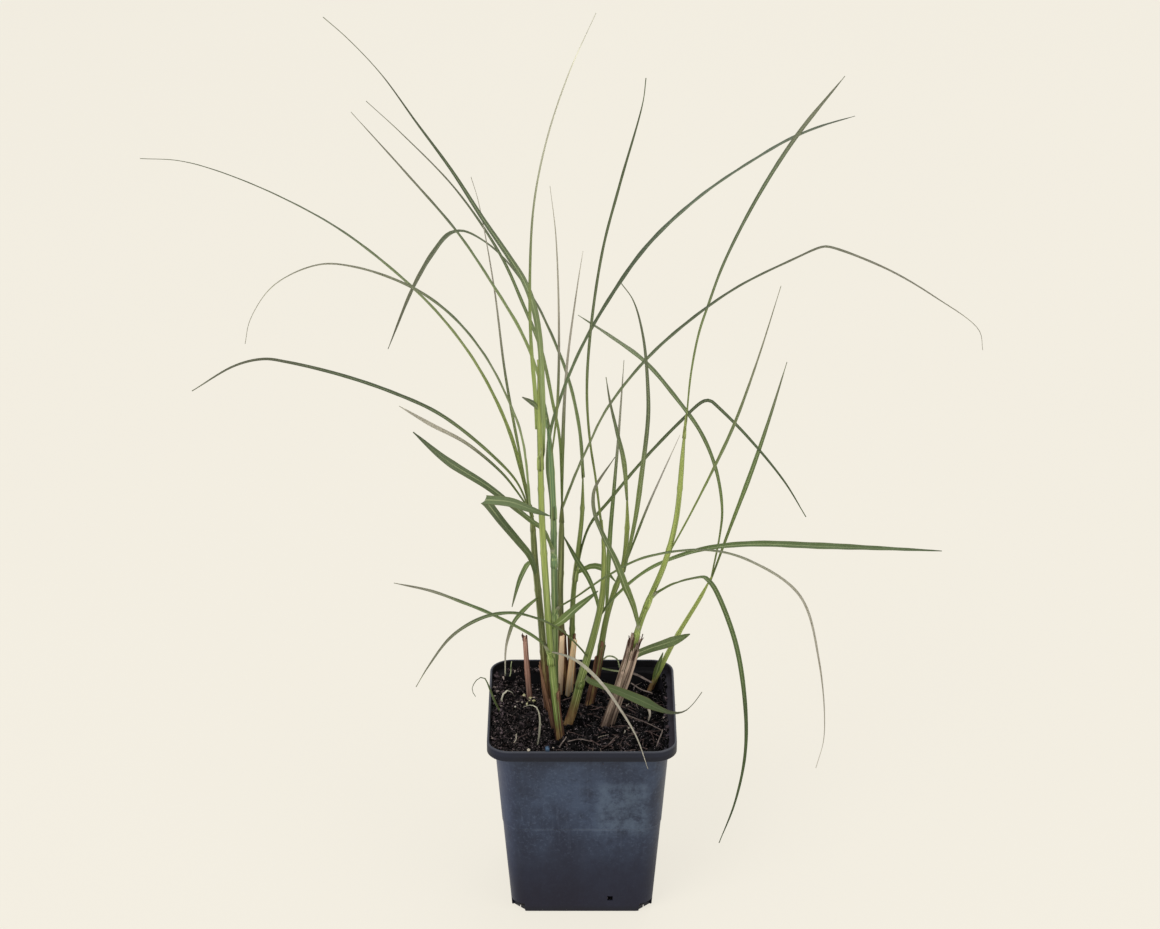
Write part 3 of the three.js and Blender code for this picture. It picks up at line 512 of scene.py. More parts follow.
def grass_material():
    """Living and dying grass: green by tone, paler at the stalk, straw where it is dry, with a pale midrib,
    fine parallel veins and, on stalks and sheaths, a reddish foot. Painted shade darkens the green low
    down, the stalks' edges and whatever the shade number marks above 0. Painted light brightens where it is
    below
    0, and painted highlights and shade run in streaks along the stalks."""
    n = Nodes("grass")
    along, across, tone, dry, rise, sheath, shade = (n.number(name) for name in ATTRIBUTES)
    deep, pale = shade.at_least(0), (shade * -1).at_least(0)
    place = n.place()
    patch = n.noise(place, 45)
    fine = n.noise(n.scaled(place, 1, 1, 0.25), 420, 2)
    off_middle = abs(across)

    young = n.mix(tone, (184, 198, 104), (150, 170, 118))
    grown = n.mix(tone, (118, 130, 92), (91, 104, 90))
    green = n.mix(along.span(0.05, 0.5), young, grown)
    green.paint(rise.span(0.7, 2, 0.7, 0), 88, 114, 44)  # Painted shade: a darker, more saturated green low down, near the soil
    green.paint(patch.span(0.4, 0.72, 0, 0.3), 60, 70, 42)
    green.paint(dry.span(0, 0.45, 0, 0.75), 142, 138, 120)
    # The shade number: painted shade, a deeper green, above 0 and painted light below 0
    green.paint(deep * 0.7, 44, 60, 38).paint(pale * 0.7, 160, 186, 104)

    stalk = n.mix(rise.span(0.15, 1.1), (92, 118, 42), (164, 180, 88))
    stalk.paint(rise.span(1.2, 2.6), 204, 218, 132)
    stalk.paint(tone.span(0.3, 1, 0, 0.85) * rise.span(0.3, 1, 0.3, 1), 92, 138, 106)
    # Painted shade: stalks that stand behind others are darker low down, by their shade number
    stalk.paint(shade * rise.span(0.7, 1.7, 1, 0.15) * 0.8, 64, 54, 28)
    # Painted shade: the stalk darker towards its edges, as a round stem is shaded
    stalk.paint(off_middle.span(0.4, 0.8, 0, 0.7), 62, 78, 32)
    # Painted highlights and painted shade in streaks along the stalk
    streak = n.noise(n.vector(across * 2.6, tone * 9, rise), 2.2, 3, 0.6)
    stalk.paint(streak.span(0.5, 0.64, 0, 0.6), 208, 218, 146)
    stalk.paint(streak.span(0.36, 0.47, 0.7, 0), 60, 78, 32)
    # Painted light: a lighter stalk where the shade number is below 0
    stalk.paint(pale * 0.7, 208, 222, 120)
    foot = n.mix(fine.span(0.35, 0.7), (104, 62, 40), (150, 118, 78))
    footed = (rise + patch * 0.06) / (deep * 0.75 + 0.25)
    stalk = n.mix(footed.span(0.16, 0.5), foot, stalk)
    colour = n.mix(sheath.span(0.2, 0.8), green, stalk)

    vein = n.math("SINE", across * 34)
    colour.paint(vein.span(0.2, 1, 0, 0.22), 176, 190, 126)
    rib = off_middle.span(0.05, 0.16, 1, 0) * sheath.span(0, 0.5, 0.75, 0.1)
    rib = rib * along.span(0.55, 0.95, 1, 0.25) * shade.span(0, 0.8, 1, 0.15)
    colour.paint(rib, 186, 198, 146)
    colour.paint(off_middle.span(0.86, 0.98) * 0.35, 150, 132, 84)  # Dry edges

    straw = n.mix(fine, (184, 176, 152), (232, 227, 212))
    # Painted light: straw whitened where the shade number is below 0
    straw.paint(patch.span(0.52, 0.75, 0, 0.3), 140, 114, 88).paint(pale * 0.8, 250, 246, 222)
    colour = n.mix(dry.span(0.2, 1), colour, straw)
    return n.finish(colour, patch.span(0.3, 0.8, 0.42, 0.62), 0.4, vein + fine * 0.8, 0.00007)


def dead_material(name, dark, middle, light):
    """Dead sheaths, cane and fibres: long grain streaks with stains."""
    n = Nodes(name)
    across, rise, tone = n.number("across"), n.number("rise"), n.number("tone")
    streaks = n.noise(n.vector(across * 1.6, tone * 9, rise), 2.4, 4, 0.65)
    stain = n.noise(n.place(), 160, 4, 0.6)
    colour = n.mix(streaks.span(0.36, 0.64), dark, light)
    colour.paint(stain.span(0.42, 0.68, 0, 0.65), *middle)
    colour.paint(tone.span(0.55, 0.9, 0, 0.6), *light).paint(tone.span(0.1, 0.4, 0.6, 0), *dark)
    colour.paint(abs(across).span(0.7, 1, 0, 0.5), *dark)
    colour.paint(rise.span(0, 0.16, 0.65, 0), 56, 40, 34)
    return n.finish(colour, 0.82, 0.2, streaks + stain * 0.4, 0.0003)


def soil_material():
    """Damp peat: nearly black, with brown and purple-grey crumbs, pale flecks and a broken sheen."""
    n = Nodes("peat")
    place, tone = n.place(), n.number("tone")
    lump = n.noise(place, 260, 5, 0.7)
    grain = n.noise(place, 1100, 4, 0.8)
    colour = n.mix(lump.span(0.46, 0.72), (2, 2, 3), (13, 11, 13))
    colour.paint(tone.span(0.7, 0.95, 0, 0.7), 104, 90, 96)
    colour.paint(tone.span(0.982, 0.99, 0, 0.85), 206, 190, 178)
    colour.paint(grain.span(0.6, 0.66, 0, 0.85), 196, 180, 184)
    drier_left = n.axis(place, "X").span(-0.036, -0.004, 0.5, 0)
    colour.paint(drier_left * grain.span(0.53, 0.6), 124, 108, 106)
    return n.finish(colour, grain.span(0.3, 0.7, 0.45, 0.9), 0.1, lump * 1.5 + grain, 0.0006)


def litter_material(name, dark, light, rough=0.8):
    n = Nodes(name)
    grain = n.noise(n.place(), 500)
    colour = n.mix(grain.span(0.35, 0.65), dark, light).paint(n.number("tone") * 0.5, *dark)
    return n.finish(colour, rough, 0.3, grain, 0.0003)


def pot_material():
    """Slate-blue black moulded plastic, dusty in the upper middle, darker and purplish low down, with
    scuffs, faint upright flow lines, a lighter rectangle at the upper right that is painted reflection
    broken up by dust, a painted sheen on the left edge, painted shade under the rim and along the foot, a
    painted highlight on the lip, and a lining in painted shade with a painted reflection on its right wall."""
    n = Nodes("pot_plastic")
    place = n.place()
    across, height = n.axis(place, "X"), n.axis(place, "Z")
    cloud = n.noise(n.scaled(place, 1, 1, 0.8), 34, 5, 0.6)
    blotch = n.noise(place, 150, 5, 0.72)
    mottle = n.noise(place, 640, 4, 0.7)
    speck = n.noise(place, 1500, 3, 0.6)
    flow = n.noise(n.scaled(place, 1, 1, 0.05), 520)
    upper = height.span(0.022, 0.05, 0.1, 1)

    colour = n.mix(height.span(0.004, 0.068), (20, 20, 38), (34, 42, 61))
    dusty = cloud.span(0.38, 0.66) * height.span(0.02, 0.06, 0.15, 1) * blotch.span(0.25, 0.65, 0.35, 1)
    colour.paint(dusty * 0.46, 78, 93, 118)
    # Painted reflection broken up by dust: a lighter rectangle at the upper right
    splash = across.span(0.004, 0.011) * across.span(0.029, 0.034, 1, 0)
    splash = splash * (height.span(0.043, 0.05) * height.span(0.073, 0.078, 1, 0))
    colour.paint(splash * blotch.span(0.35, 0.65, 0.1, 0.6), 84, 98, 116)
    colour.paint(across.span(-0.041, -0.029, 0.4, 0), 62, 76, 116)  # Sheen on the left edge
    colour.paint(mottle.span(0.5, 0.7, 0, 0.34) * upper, 82, 95, 116)
    colour.paint(blotch.span(0.3, 0.44, 0.35, 0) * upper, 24, 27, 42)
    colour.paint(flow.span(0.5, 0.75, 0, 0.1) * upper, 92, 102, 122)
    colour.paint(speck.span(0.64, 0.76, 0, 0.18) * upper, 104, 112, 128)
    mould_line = abs(height - MOULD_LINE_HEIGHT * MM).span(0.0002, 0.0011, 0.22, 0)
    colour.paint(mould_line * cloud.span(0.42, 0.58), 104, 116, 136)

    # The rim's foot in painted shade, its face, and its lip with a painted highlight, then painted shade
    # along the foot of the pot
    colour.paint(height.span(0.0897, 0.0912, 0, 0.9), 15, 15, 24)
    colour.paint(height.span(0.0925, 0.0938, 0, 0.12), 56, 62, 84)
    colour.paint(height.span(0.0951, 0.0958, 0, 0.45), 84, 86, 94)
    colour.paint(height.span(0.0005, 0.0045, 0.6, 0), 16, 18, 24)

    inside = n.number("along").span(0.4, 0.6)
    # The lining: nearly black, painted shade with peat dirt, lighter towards the right wall with a painted
    # reflection
    lining = n.mix(across.span(0.034, 0.043), (9, 8, 12), (44, 40, 50))
    rough = cloud.span(0.35, 0.7, 0.4, 0.58).at_least(inside * 0.8)
    return n.finish(n.mix(inside, colour, lining), rough, 0.25, (blotch + flow) * 0.5, 0.00012)


GRASS = grass_material()
DEAD_GREY = dead_material("dead_sheath_grey", (60, 44, 38), (124, 104, 92), (222, 198, 176))
DEAD_TAN = dead_material("dead_sheath_tan", (252, 206, 146), (255, 230, 182), (255, 248, 220))
DEAD_BROWN = dead_material("dead_sheath_brown", (200, 134, 90), (250, 198, 148), (255, 234, 200))
CANE = dead_material("old_cane", (142, 98, 84), (176, 132, 114), (226, 188, 168))
RED_SHEATH = dead_material("red_sheath", (72, 44, 34), (106, 72, 54), (158, 122, 94))
DARK_CANE = dead_material("dark_cane", (58, 38, 32), (70, 48, 38), (104, 74, 58))
PEAT = soil_material()
BARK = litter_material("bark_fibre", (56, 44, 42), (112, 92, 88))
PALE_BIT = litter_material("pale_bits", (150, 140, 122), (206, 200, 186))
MOSS = litter_material("moss", (168, 164, 118), (238, 234, 202))
PALE_GREEN = litter_material("pale_green_scrap", (112, 124, 84), (176, 184, 146))
BLUE_GRAIN = litter_material("feed_grain", (26, 44, 62), (70, 96, 124), 0.6)
OLD_STRAW = litter_material("old_straw", (92, 80, 76), (146, 134, 126))
POT = pot_material()


# Leaves and stalks

BLADE_STEP, STALK_STEP, STRIP_STEP, SCRAP_STEP = 2.2, 2.0, 1.6, 1.2
COLUMNS = 9
BLADE_THICKNESS, SHEATH_THICKNESS, KEEL, KEEL_REACH = 0.24, 0.26, 0.22, 0.16
CHANNEL_DEPTH, RIPPLE, SWAY = 0.42, 0.05, math.radians(7)
LEAST_WIDTH, LEAST_WIDTH_DRY = 0.5, 0.24
SHEATH_CHANCE, SHEATH_STATIONS, SHEATH_WRAP = 3 / 7, 4, 2.5
OPENING_START, OPENING_LEAST, OPENING_LENGTH = 7.0, 2.5, 11.0
STALK_ROOT, STALK_INSET, STALK_SIDES, STALK_RIBS, RIB_DEPTH = 6.0, 0.12, 16, 8, 0.035
JOINT_SWELL, JOINT_LENGTH, JOINT_SPACING = 0.22, 1.3, 34
# How high the remains of old sheaths reach up each stalk, in millimetres
COLLARS = dict(leafy_stem_front=21, leafy_stem_tall=15, leafy_stem_middle=30, leafy_stem_left=28,
               leafy_stem_back=24, leafy_stem_forked=30)


def blade_width(leaf, along):
    widening = leaf.foot_share + (1 - leaf.foot_share) * np.minimum(1, along / leaf.widest)
    narrowing = np.minimum(1, (1 - along) / (1 - leaf.widest)) ** leaf.tip_power
    least = LEAST_WIDTH + (LEAST_WIDTH_DRY - LEAST_WIDTH) * leaf.dry
    return np.maximum(least, leaf.width * widening * narrowing)


def clasped(middle, stalk, rnd):
    """A blade's line with the part below it that still clasps the stalk, how many points that has, and
    the radius that each point clasps."""
    if stalk:
        points, radii = stalk
        joint = int(np.argmin(np.linalg.norm(points - middle[0], axis=1)))
        low = joint - SHEATH_STATIONS
        if rnd.random() >= 1 - SHEATH_CHANCE and low >= 1:
            middle = np.concatenate([points[low:joint], middle[1:]])
            above = np.full(len(middle) - SHEATH_STATIONS, radii[joint])
            return middle, SHEATH_STATIONS, np.concatenate([radii[low:joint], above])
    return middle, 0, np.zeros(len(middle))


def add_blade(build, leaf, seed, stalk=None, foot=None):
    """A leaf blade: a thin keeled channel that twists a little and waves at its edges. With stalk, its
    foot may run down the stalk as a wrapped sheath, and it has the foot's colours until it opens."""
    rnd = random.Random(seed)
    middle = smooth_line(leaf.line, BLADE_STEP)
    level = np.cross([0, 0, 1], unit((middle[-1] - middle[0]) * np.array([1, 1, 0])))
    broad = level if leaf.broad is None else np.array(leaf.broad)
    middle, count, hug = clasped(middle, stalk, rnd)
    _, side, face = framed(middle, broad * np.sign(np.dot(broad, level)))
    run = lengths(middle)
    run = run - run[count]
    along = np.clip(run / run[-1], 0, 1)
    opened = np.ones(len(run))
    if count:
        away = np.array([np.linalg.norm(stalk[0] - place, axis=1).min() for place in middle])
        clear = run[int(np.argmax(away > 1.5 * hug[-1] + 0.6))]
        opened = smoothstep(run, -OPENING_START, np.clip(clear, OPENING_LEAST, OPENING_LENGTH))

    whole = run - run[0]
    phase = rnd.uniform(0, 6.28)
    turn = math.radians(leaf.twist) * np.sin(along * 2.6 + 0.4) + SWAY * np.sin(whole * 0.05 + phase)
    cos, sin = (f(turn * opened)[:, None] for f in (np.cos, np.sin))
    side, face = side * cos + face * sin, face * cos - side * sin

    # The open section, blended into the wrapped one, and the direction in which it is thick
    u = np.linspace(-1, 1, COLUMNS)[None, :]
    far, share = along[:, None], opened[:, None]
    half = blade_width(leaf, far) / 2
    wave = RIPPLE * half * np.sin(whole[:, None] * 0.45 + phase + u * 1.5) * u ** 2
    channel = half * CHANNEL_DEPTH * (1 - 0.5 * far) * (np.abs(u) ** 1.4 - 0.55) + wave
    around, hug = u * SHEATH_WRAP, hug[:, None] + 0.05
    x = hug * np.sin(around) * (1 - share) + u * half * share
    v = -hug * np.cos(around) * (1 - share) + channel * share
    out_x, out_v = np.sin(around) * (1 - share), -np.cos(around) * (1 - share) - share
    thick = BLADE_THICKNESS * (0.3 + 0.7 * (1 - np.abs(u) ** 3)) * (1 - 0.45 * far)
    keel = KEEL * np.exp(-(u / KEEL_REACH) ** 2) * (1 - 0.8 * far)
    thick = (thick * share + SHEATH_THICKNESS * (1 - share) + keel) / np.hypot(out_x, out_v)
    x, v = closed(x, x + out_x * thick), closed(v, v + out_v * thick)

    tip = leaf.dry * smoothstep(along, 0.72 - 0.6 * leaf.dry, 1.0 - 0.3 * leaf.dry)
    dry = leaf.all_dry + (1 - leaf.all_dry) * tip
    if count:
        dry = np.maximum(dry, 0.45 * np.exp(-(run / 1.6) ** 2))
    foot = foot or SimpleNamespace(tone=leaf.tone, shade=0)
    # The shade number, painted shade above 0 and painted light below 0, from the stalk's to the blade's own
    shade = foot.shade + (np.interp(along, (0.5, 0.62), leaf.dark) - foot.shade) * opened
    build.grid(rings_along(middle, side, face, x, v), across=closed(u, u), along=far,
               tone=foot.tone + (leaf.tone - foot.tone) * share, dry=dry[:, None],
               rise=rise_above_soil(middle), sheath=1 - share, shade=shade[:, None])


def add_stalk(build, stem):
    """A jointed stalk, faintly ribbed, with a swollen ring every few centimetres."""
    middle = rooted(smooth_line(stem.line, STALK_STEP), STALK_ROOT)
    foot, top = stem.thick
    run = lengths(middle)
    share = run / run[-1]
    radii = ((foot + (top - foot) * share) / 2 - STALK_INSET) * (1 - 0.65 * smoothstep(share, 0.82, 1.0))
    turn = circle(STALK_SIDES)
    swell = np.exp(-(((run + 12) % JOINT_SPACING - JOINT_SPACING / 2) / JOINT_LENGTH) ** 2)
    shape = (radii + JOINT_SWELL * swell)[:, None] * (1 + RIB_DEPTH * np.cos(STALK_RIBS * turn))
    build.grid(tube(middle, shape, turn), across=np.cos(turn) * 0.8, tone=stem.tone, shade=stem.shade,
               dry=(0.35 * swell * (1 - share))[:, None], rise=rise_above_soil(middle), sheath=1.0)
    return middle, radii


def add_collar(build, stalk, height, seed, strips=4, buried=5):
    """The dead remains of old sheaths that clasp a stalk's foot."""
    points, radii = stalk
    rnd = random.Random(seed)
    way, side, face = framed(points)
    for strip in range(strips):
        count = buried + max(4, int(height * rnd.uniform(0.6, 1.0) / STALK_STEP))
        turn = 2 * math.pi * strip / strips + rnd.uniform(-0.4, 0.4) - 1.2
        away = outward(side[:count], face[:count], turn)
        share = shares(count)
        lift = radii[:count, None] + 0.2 + 0.08 * strip + rnd.uniform(0.1, 0.6) * share ** 4
        add_strip(build, points[:count] + away * lift, radii[0] * rnd.uniform(1.1, 1.6), 0.4, seed + strip,
                  np.cross(away[0], way[0]), 1, root=0.0)


def leafy_stems():
    for order, (name, stem) in enumerate(LEAFY_STEMS.items()):
        build = Build()
        stalk = add_stalk(build, stem)
        for count, leaf in enumerate(stem.blades):
            add_blade(build, leaf, order * 20 + count, stalk, stem)
        if name in COLLARS:
            add_collar(build, stalk, COLLARS[name], 500 + order * 5)
        build.piece(name + "_grass", [GRASS, RED_SHEATH], name, "green_blade")


def single_blade(name, ending, leaf, seed, slot):
    build = Build()
    add_blade(build, leaf, seed)
    build.piece(name + ending, [GRASS], name, slot)


def soil_blades():
    for order, (name, leaf) in enumerate(SINGLE_BLADES.items()):
        slot = "pale_shoot" if name.startswith("pale") else "green_blade"
        single_blade(name, "_leaf", leaf, 300 + order, slot)
    looks = dict(dead_sheath_pale=DEAD_TAN, dead_sheath_brown=DEAD_BROWN, dead_twig=RED_SHEATH)
    for seed, (name, (width, line)) in enumerate(DEAD_STRIPS.items(), 4):
        build = Build()
        add_strip(build, smooth_line(line, STRIP_STEP), width, 0.55, seed, (1.0, 0, 0))
        build.piece(name + "_strip", [looks[name]], name, "dead_sheath")
    single_blade("dry_leaf", "_straw", DRY_LEAF, 400, "dry_leaf")


# Dead parts

STRIP_THICKNESS, DEAD_ROOT = 0.35, 5.0
BUNDLE_RADIUS, BUNDLE_LAYER, SPLINTER_RADIUS = 2.35, 0.3, 2.6


def add_strip(build, middle, width, curl, seed, sideways, slot=0, root=DEAD_ROOT):
    """A dead sheath strip: a curved channel with a torn, pointed top."""
    rnd = random.Random(seed)
    middle = rooted(middle, root + 0.1)
    way, side, face = framed(middle, sideways)
    share = shares(len(middle))
    u = np.linspace(-1, 1, COLUMNS)[None, :]
    tear = np.interp(u, np.linspace(-1, 1, 5), [rnd.uniform(0, width) for _ in range(5)])
    half = width / 2 * (1 - 0.35 * share)
    v = -curl * half * (1 - u ** 2) * 1.2 + 0.12 * np.sin(share * 9 + seed)
    top = rings_along(middle, side, face, u * half, v)
    top[-1] += way[-1] * tear.T
    build.grid(closed(top, top - face[:, None, :] * STRIP_THICKNESS), slot, across=closed(u, u),
               tone=rnd.random(), rise=rise_above_soil(middle))


def sheath_bundle(strips=12, splinters=16):
    """Split dead sheaths around the right stalk, fraying and splaying at the top."""
    line = smooth_line(LEAFY_STEMS["leafy_stem_right"].line, STALK_STEP)
    way, side, face = framed(line)
    rnd = random.Random(12)
    build = Build()
    for strip in range(strips):
        turn = 2 * math.pi * strip / strips + rnd.uniform(-0.12, 0.12)
        count = int(rnd.uniform(22, 27)) if strip % 4 else int(rnd.uniform(15, 19))
        away = outward(side[:count], face[:count], turn)
        lift = BUNDLE_RADIUS + BUNDLE_LAYER * (strip % 3) + rnd.uniform(0.0, 0.6) * shares(count) ** 3
        middle = line[:count] + away * lift
        add_strip(build, middle, rnd.uniform(2.2, 3.2), 0.25, strip + 60, np.cross(away[0], way[0]))
    for splinter in range(splinters):
        turn = 2 * math.pi * splinter / splinters
        start = rnd.randint(17, 22)
        away = outward(side[start], face[start], turn)
        share = shares(6)
        middle = line[start] + away * (SPLINTER_RADIUS + share * rnd.uniform(0.3, 1.2))
        middle = middle + way[start] * share * rnd.uniform(4, 8)
        add_strip(build, middle, rnd.uniform(0.4, 0.9), 0.3, splinter + 90, np.cross(away, way[start]),
                  splinter % 2, root=0.0)
    build.piece("dead_sheath_bundle_strips", [DEAD_GREY, DARK_CANE], "dead_sheath_bundle", "dead_sheath")


def cut_cane():
    """Last year's stub: faintly ribbed, with one joint, a ragged cut and three torn flaps."""
    build = Build()
    middle = rooted(smooth_line(CANE_LINE, STRIP_STEP), DEAD_ROOT)
    way, side, face = framed(middle)
    share = shares(len(middle))
    turn = circle(18)
    radius = (CANE_THICK[0] + (CANE_THICK[1] - CANE_THICK[0]) * share) / 2
    radius = radius * (1 + 0.05 * np.cos(7 * turn)) + 0.18 * np.exp(-((share - 0.42) / 0.03) ** 2)
    rings = tube(middle, radius, turn)
    rings[-1] += way[-1] * (0.8 + 0.9 * np.sin(3 * turn + 1) * np.cos(5 * turn)).T
    build.grid(rings, across=np.cos(turn), tone=0.4, rise=rise_above_soil(middle))
    for flap, turn in enumerate((2.6, 3.6, 5.3)):
        away = outward(side[-1], face[-1], turn)
        share = shares(6)
        points = middle[-1] + away * (1.15 + 0.35 * share) + way[-1] * (share - 0.5) * 2.6
        add_strip(build, points, 1.1, 0.5, 200 + flap, np.cross(away, way[-1]), 1, root=0.0)
    build.piece("cut_cane_stub", [CANE, DARK_CANE], "cut_cane", "cane")


# Soil and what lies on it


def soil_height(x, y):
    lumps = (np.sin(x * 0.31 + 1.3) * np.cos(y * 0.27 - 0.4) + 0.6 * np.sin(x * 0.63 - y * 0.52 + 2.1)
             + 0.35 * np.cos(x * 1.1 + y * 0.9))
    bank = SOIL_BANK * smoothstep(-x, SOIL_BANK_START, POT_WIDTH / 2)
    return SOIL_LEVEL + bank - SOIL_SLOPE * (x + y) + SOIL_CLOD * lumps / 1.95


def on_soil(x, y, lift=0.0):
    """The place on the rough soil below or above x and y."""
    rough = noise.fractal(Vector((x, y, 3.0)) * 0.22, 0.75, 2.1, 6)
    return np.array([x, y, float(soil_height(x, y)) + 2.2 * (rough - 0.1) + lift])


def turned(x, y, quarter):
    """A flat point after some quarter turns about the middle."""
    c, s = ((1, 0), (0, 1), (-1, 0), (0, -1))[quarter]
    return np.array([c * x - s * y, s * x + c * y])


def square_ring(width, corner, steps=10):
    """A square with rounded corners, as (points, 2)."""
    turn = np.linspace(0, math.pi / 2, steps + 1)
    arc = width / 2 - corner + corner * np.array([np.cos(turn), np.sin(turn)])
    return np.concatenate([turned(*arc, quarter).T for quarter in range(4)])


def even_ring(width, corner, count):
    """The same outline with evenly spaced points."""
    ring = square_ring(width, corner)
    ring = np.concatenate([ring, ring[:1]])
    return respaced(ring, np.linspace(0, lengths(ring)[-1], count, endpoint=False))


def body_size(height, inset=0.0):
    """The pot body's width and corner radius at a height, with inset taken off all round."""
    rise = height / BAND_FOOT
    return (BODY_WIDTH_FOOT + (BODY_WIDTH_TOP - BODY_WIDTH_FOOT) * rise - 2 * inset,
            BODY_CORNER_FOOT + (BODY_CORNER_TOP - BODY_CORNER_FOOT) * rise - inset)


def rim_size(inset=0.0):
    return POT_WIDTH - 2 * inset, RIM_CORNER - inset


def level_ring(flat, height):
    return np.column_stack([flat, np.full(len(flat), height)])


def crumb(rnd, size):
    """A lump of peat: a rounded block pushed about."""
    lump = bmesh.new()
    bmesh.ops.create_icosphere(lump, subdivisions=2 if size > 0.9 else 1, radius=size)
    stretch = np.array([rnd.uniform(0.6, 1.25) for _ in range(3)])
    offset = Vector((rnd.random(), rnd.random(), rnd.random())) * 40
    points = [stretch * vertex.co * (1 + 0.55 * noise.noise(vertex.co / size * 1.4 + offset))
              for vertex in lump.verts]
    faces = [[v.index for v in face.verts] for face in lump.faces]
    lump.free()
    return np.array(points), faces


def soil_piece(count=200, rings_in=72, crumbs=4500, spills=1100):
    """The peat: a block with a rough top, crumbs all over it, and crumbs spilt on the pot's ledge."""
    build = Build()
    rings = [level_ring(even_ring(*body_size(height, WALL + GAP), count), height)
             for height in (FLOOR_THICKNESS + GAP, 40.0, SOIL_LEVEL - 2)]
    edge = even_ring(*body_size(SOIL_LEVEL, WALL + GAP), count)
    for step in range(rings_in):
        ring = np.array([on_soil(x, y) for x, y in edge * (1 - step / rings_in)])
        ring[:, 2] = np.minimum(ring[:, 2], LEDGE)
        rings.append(ring)
    build.grid(np.array(rings), tone=0.2)
    rnd = random.Random(5)
    half = body_size(SOIL_LEVEL, WALL)[0] / 2
    for _ in range(crumbs):
        size = rnd.choice((0.3, 0.35, 0.4, 0.5, 0.5, 0.6, 0.7, 0.8, 1.1, 1.6))
        reach = half - 0.6 - size
        x, y = rnd.uniform(-reach, reach), rnd.uniform(-reach, reach)
        if abs(x) + abs(y) <= 2 * half - 7:
            lump = crumb(rnd, size)
            tone = rnd.random() * (1.0 if size < 0.7 else 0.8)
            build.lump(lump, on_soil(x, y, 0.2 * size), 0, tone)
    for spill in range(spills):
        size = rnd.uniform(0.35, 0.9)
        inner, outer = half - 0.4, POT_WIDTH / 2 - WALL - size
        along = rnd.uniform(-36, 37)
        if spill % 10 < 6:
            x, y = -rnd.uniform(inner - 1.5, outer), along
        elif spill % 10 < 8:
            x, y = rnd.uniform(-37, 10), rnd.uniform(inner, outer)
        else:
            right, front = rnd.uniform(inner, inner + 1.6), -rnd.uniform(inner, outer)
            x, y = rnd.choice(((right, along), (along, front)))
        build.lump(crumb(rnd, size), [x, y, LEDGE + rnd.uniform(0.4, 1.3) * size], 0, rnd.random())
    build.piece("soil_peat", [PEAT], "soil", "soil", smooth=False)


def add_fibre(build, rnd, left, right, slot, length, thick, steps=9):
    """A thin root, straw or fibre that lies on the soil between left and right."""
    x, y = rnd.uniform(left, right), rnd.uniform(-35, 32)
    bearing, length, thick = rnd.uniform(0, 6.28), rnd.uniform(*length), rnd.uniform(*thick)
    bend, climb, tone = rnd.uniform(-1.5, 1.5), rnd.uniform(-0.03, 0.15), rnd.random()
    z = on_soil(x, y, thick)[2]
    points = []
    for step in range(steps):
        lift = climb * length * (step / steps) ** 1.3 + 0.8 * math.sin(step * 0.7) * thick
        points.append([x, y, z + lift])
        bearing += bend / steps + rnd.uniform(-0.12, 0.12)
        x += math.cos(bearing) * length / steps
        y += math.sin(bearing) * length / steps
    points = np.array(points)
    turn = circle(6)
    radius = thick / 2 * (1 - 0.6 * shares(steps))
    build.grid(tube(points, radius, turn, (0.0, 0, 1), 1.6), slot, tone=tone, across=np.cos(turn), rise=0.3)


# Fibres on the soil: how many, from where to where across, slot, and the spans of length and thickness
FIBRES = ((90, -34, 34, 0, (4, 13), (0.25, 0.6)), (60, 4, 35, 0, (8, 18), (0.22, 0.45)),
          (22, 2, 35, 2, (7, 16), (0.2, 0.36)), (14, -34, 34, 1, (3, 9), (0.2, 0.4)))


def litter():
    rnd = random.Random(21)
    build = Build()
    for count, *kind in FIBRES:
        for _ in range(count):
            add_fibre(build, rnd, *kind)
    for _ in range(50):
        bit = crumb(rnd, rnd.uniform(0.25, 0.6))
        place = on_soil(rnd.uniform(-35, 35), rnd.uniform(-35, 35), 0.9)
        build.lump(bit, place, int(rnd.random() < 0.15), rnd.random())
    build.piece("soil_litter", [BARK, PALE_BIT, OLD_STRAW], None, "soil")


def sighted_on_soil(across, down):
    """Where a sight line meets the soil."""
    near, far = sighted((across, down, -45)), sighted((across, down, 45))
    for share in np.linspace(0, 1, 200):
        x, y, z = near + (far - near) * share
        if z <= on_soil(x, y)[2]:
            return np.array([x, y, z])
    return far


# Crumbs that stand out, moss but for the last: across, down, size, slot and how many
MOSS_SPOTS = ((524, 697, 0.95, 0, 1), (530.5, 700.5, 1.1, 0, 1), (534, 702.5, 0.8, 0, 1),
              (527, 705.5, 0.9, 0, 1), (530, 703, 0.5, 0, 14), (655, 738, 0.6, 1, 1))
GRAINS = (((547.5, 749.5, -43.2), 1.7, 2), ((528.5, 750, -44.0), 0.8, 1))
# Dry scraps of leaf that lie on the soil or lean over it: width, slot and middle line
SCRAPS = (
    (0.9, 3, "603 659 30, 607 656 29, 613 656.5 28, 618 660 27, 620 667 26"),
    (1.0, 3, "602 668 26, 610 670 25, 620 671 24"),
    (1.3, 4, "632 673 18, 640 676 17, 650 681.5 16"),
    (0.6, 4, "631 683 10, 641 689 8, 652 693 7"),
    (1.6, 1, "649 709 1, 650.5 714 -1, 649.5 719 -3"),
    (0.35, 4, "620 712 -5, 645 722 -12, 662 730 -17"),
    (0.6, 4, "662 730 -17, 659 739 -24, 656 746 -29"),
    (0.35, 4, "568 741 -32, 580 739 -31, 591 741 -32"),
    (0.5, 4, "559 747 -35, 562 742 -34, 566 737 -33"),
    (0.4, 1, "516 734 -22, 515.5 739 -26, 512.5 745 -30"),
    (0.7, 3, "505 674 30, 504.5 667 30, 505 660 30"),
    (0.6, 3, "509.5 676 28, 510.5 669 28, 511 662 28"),
)


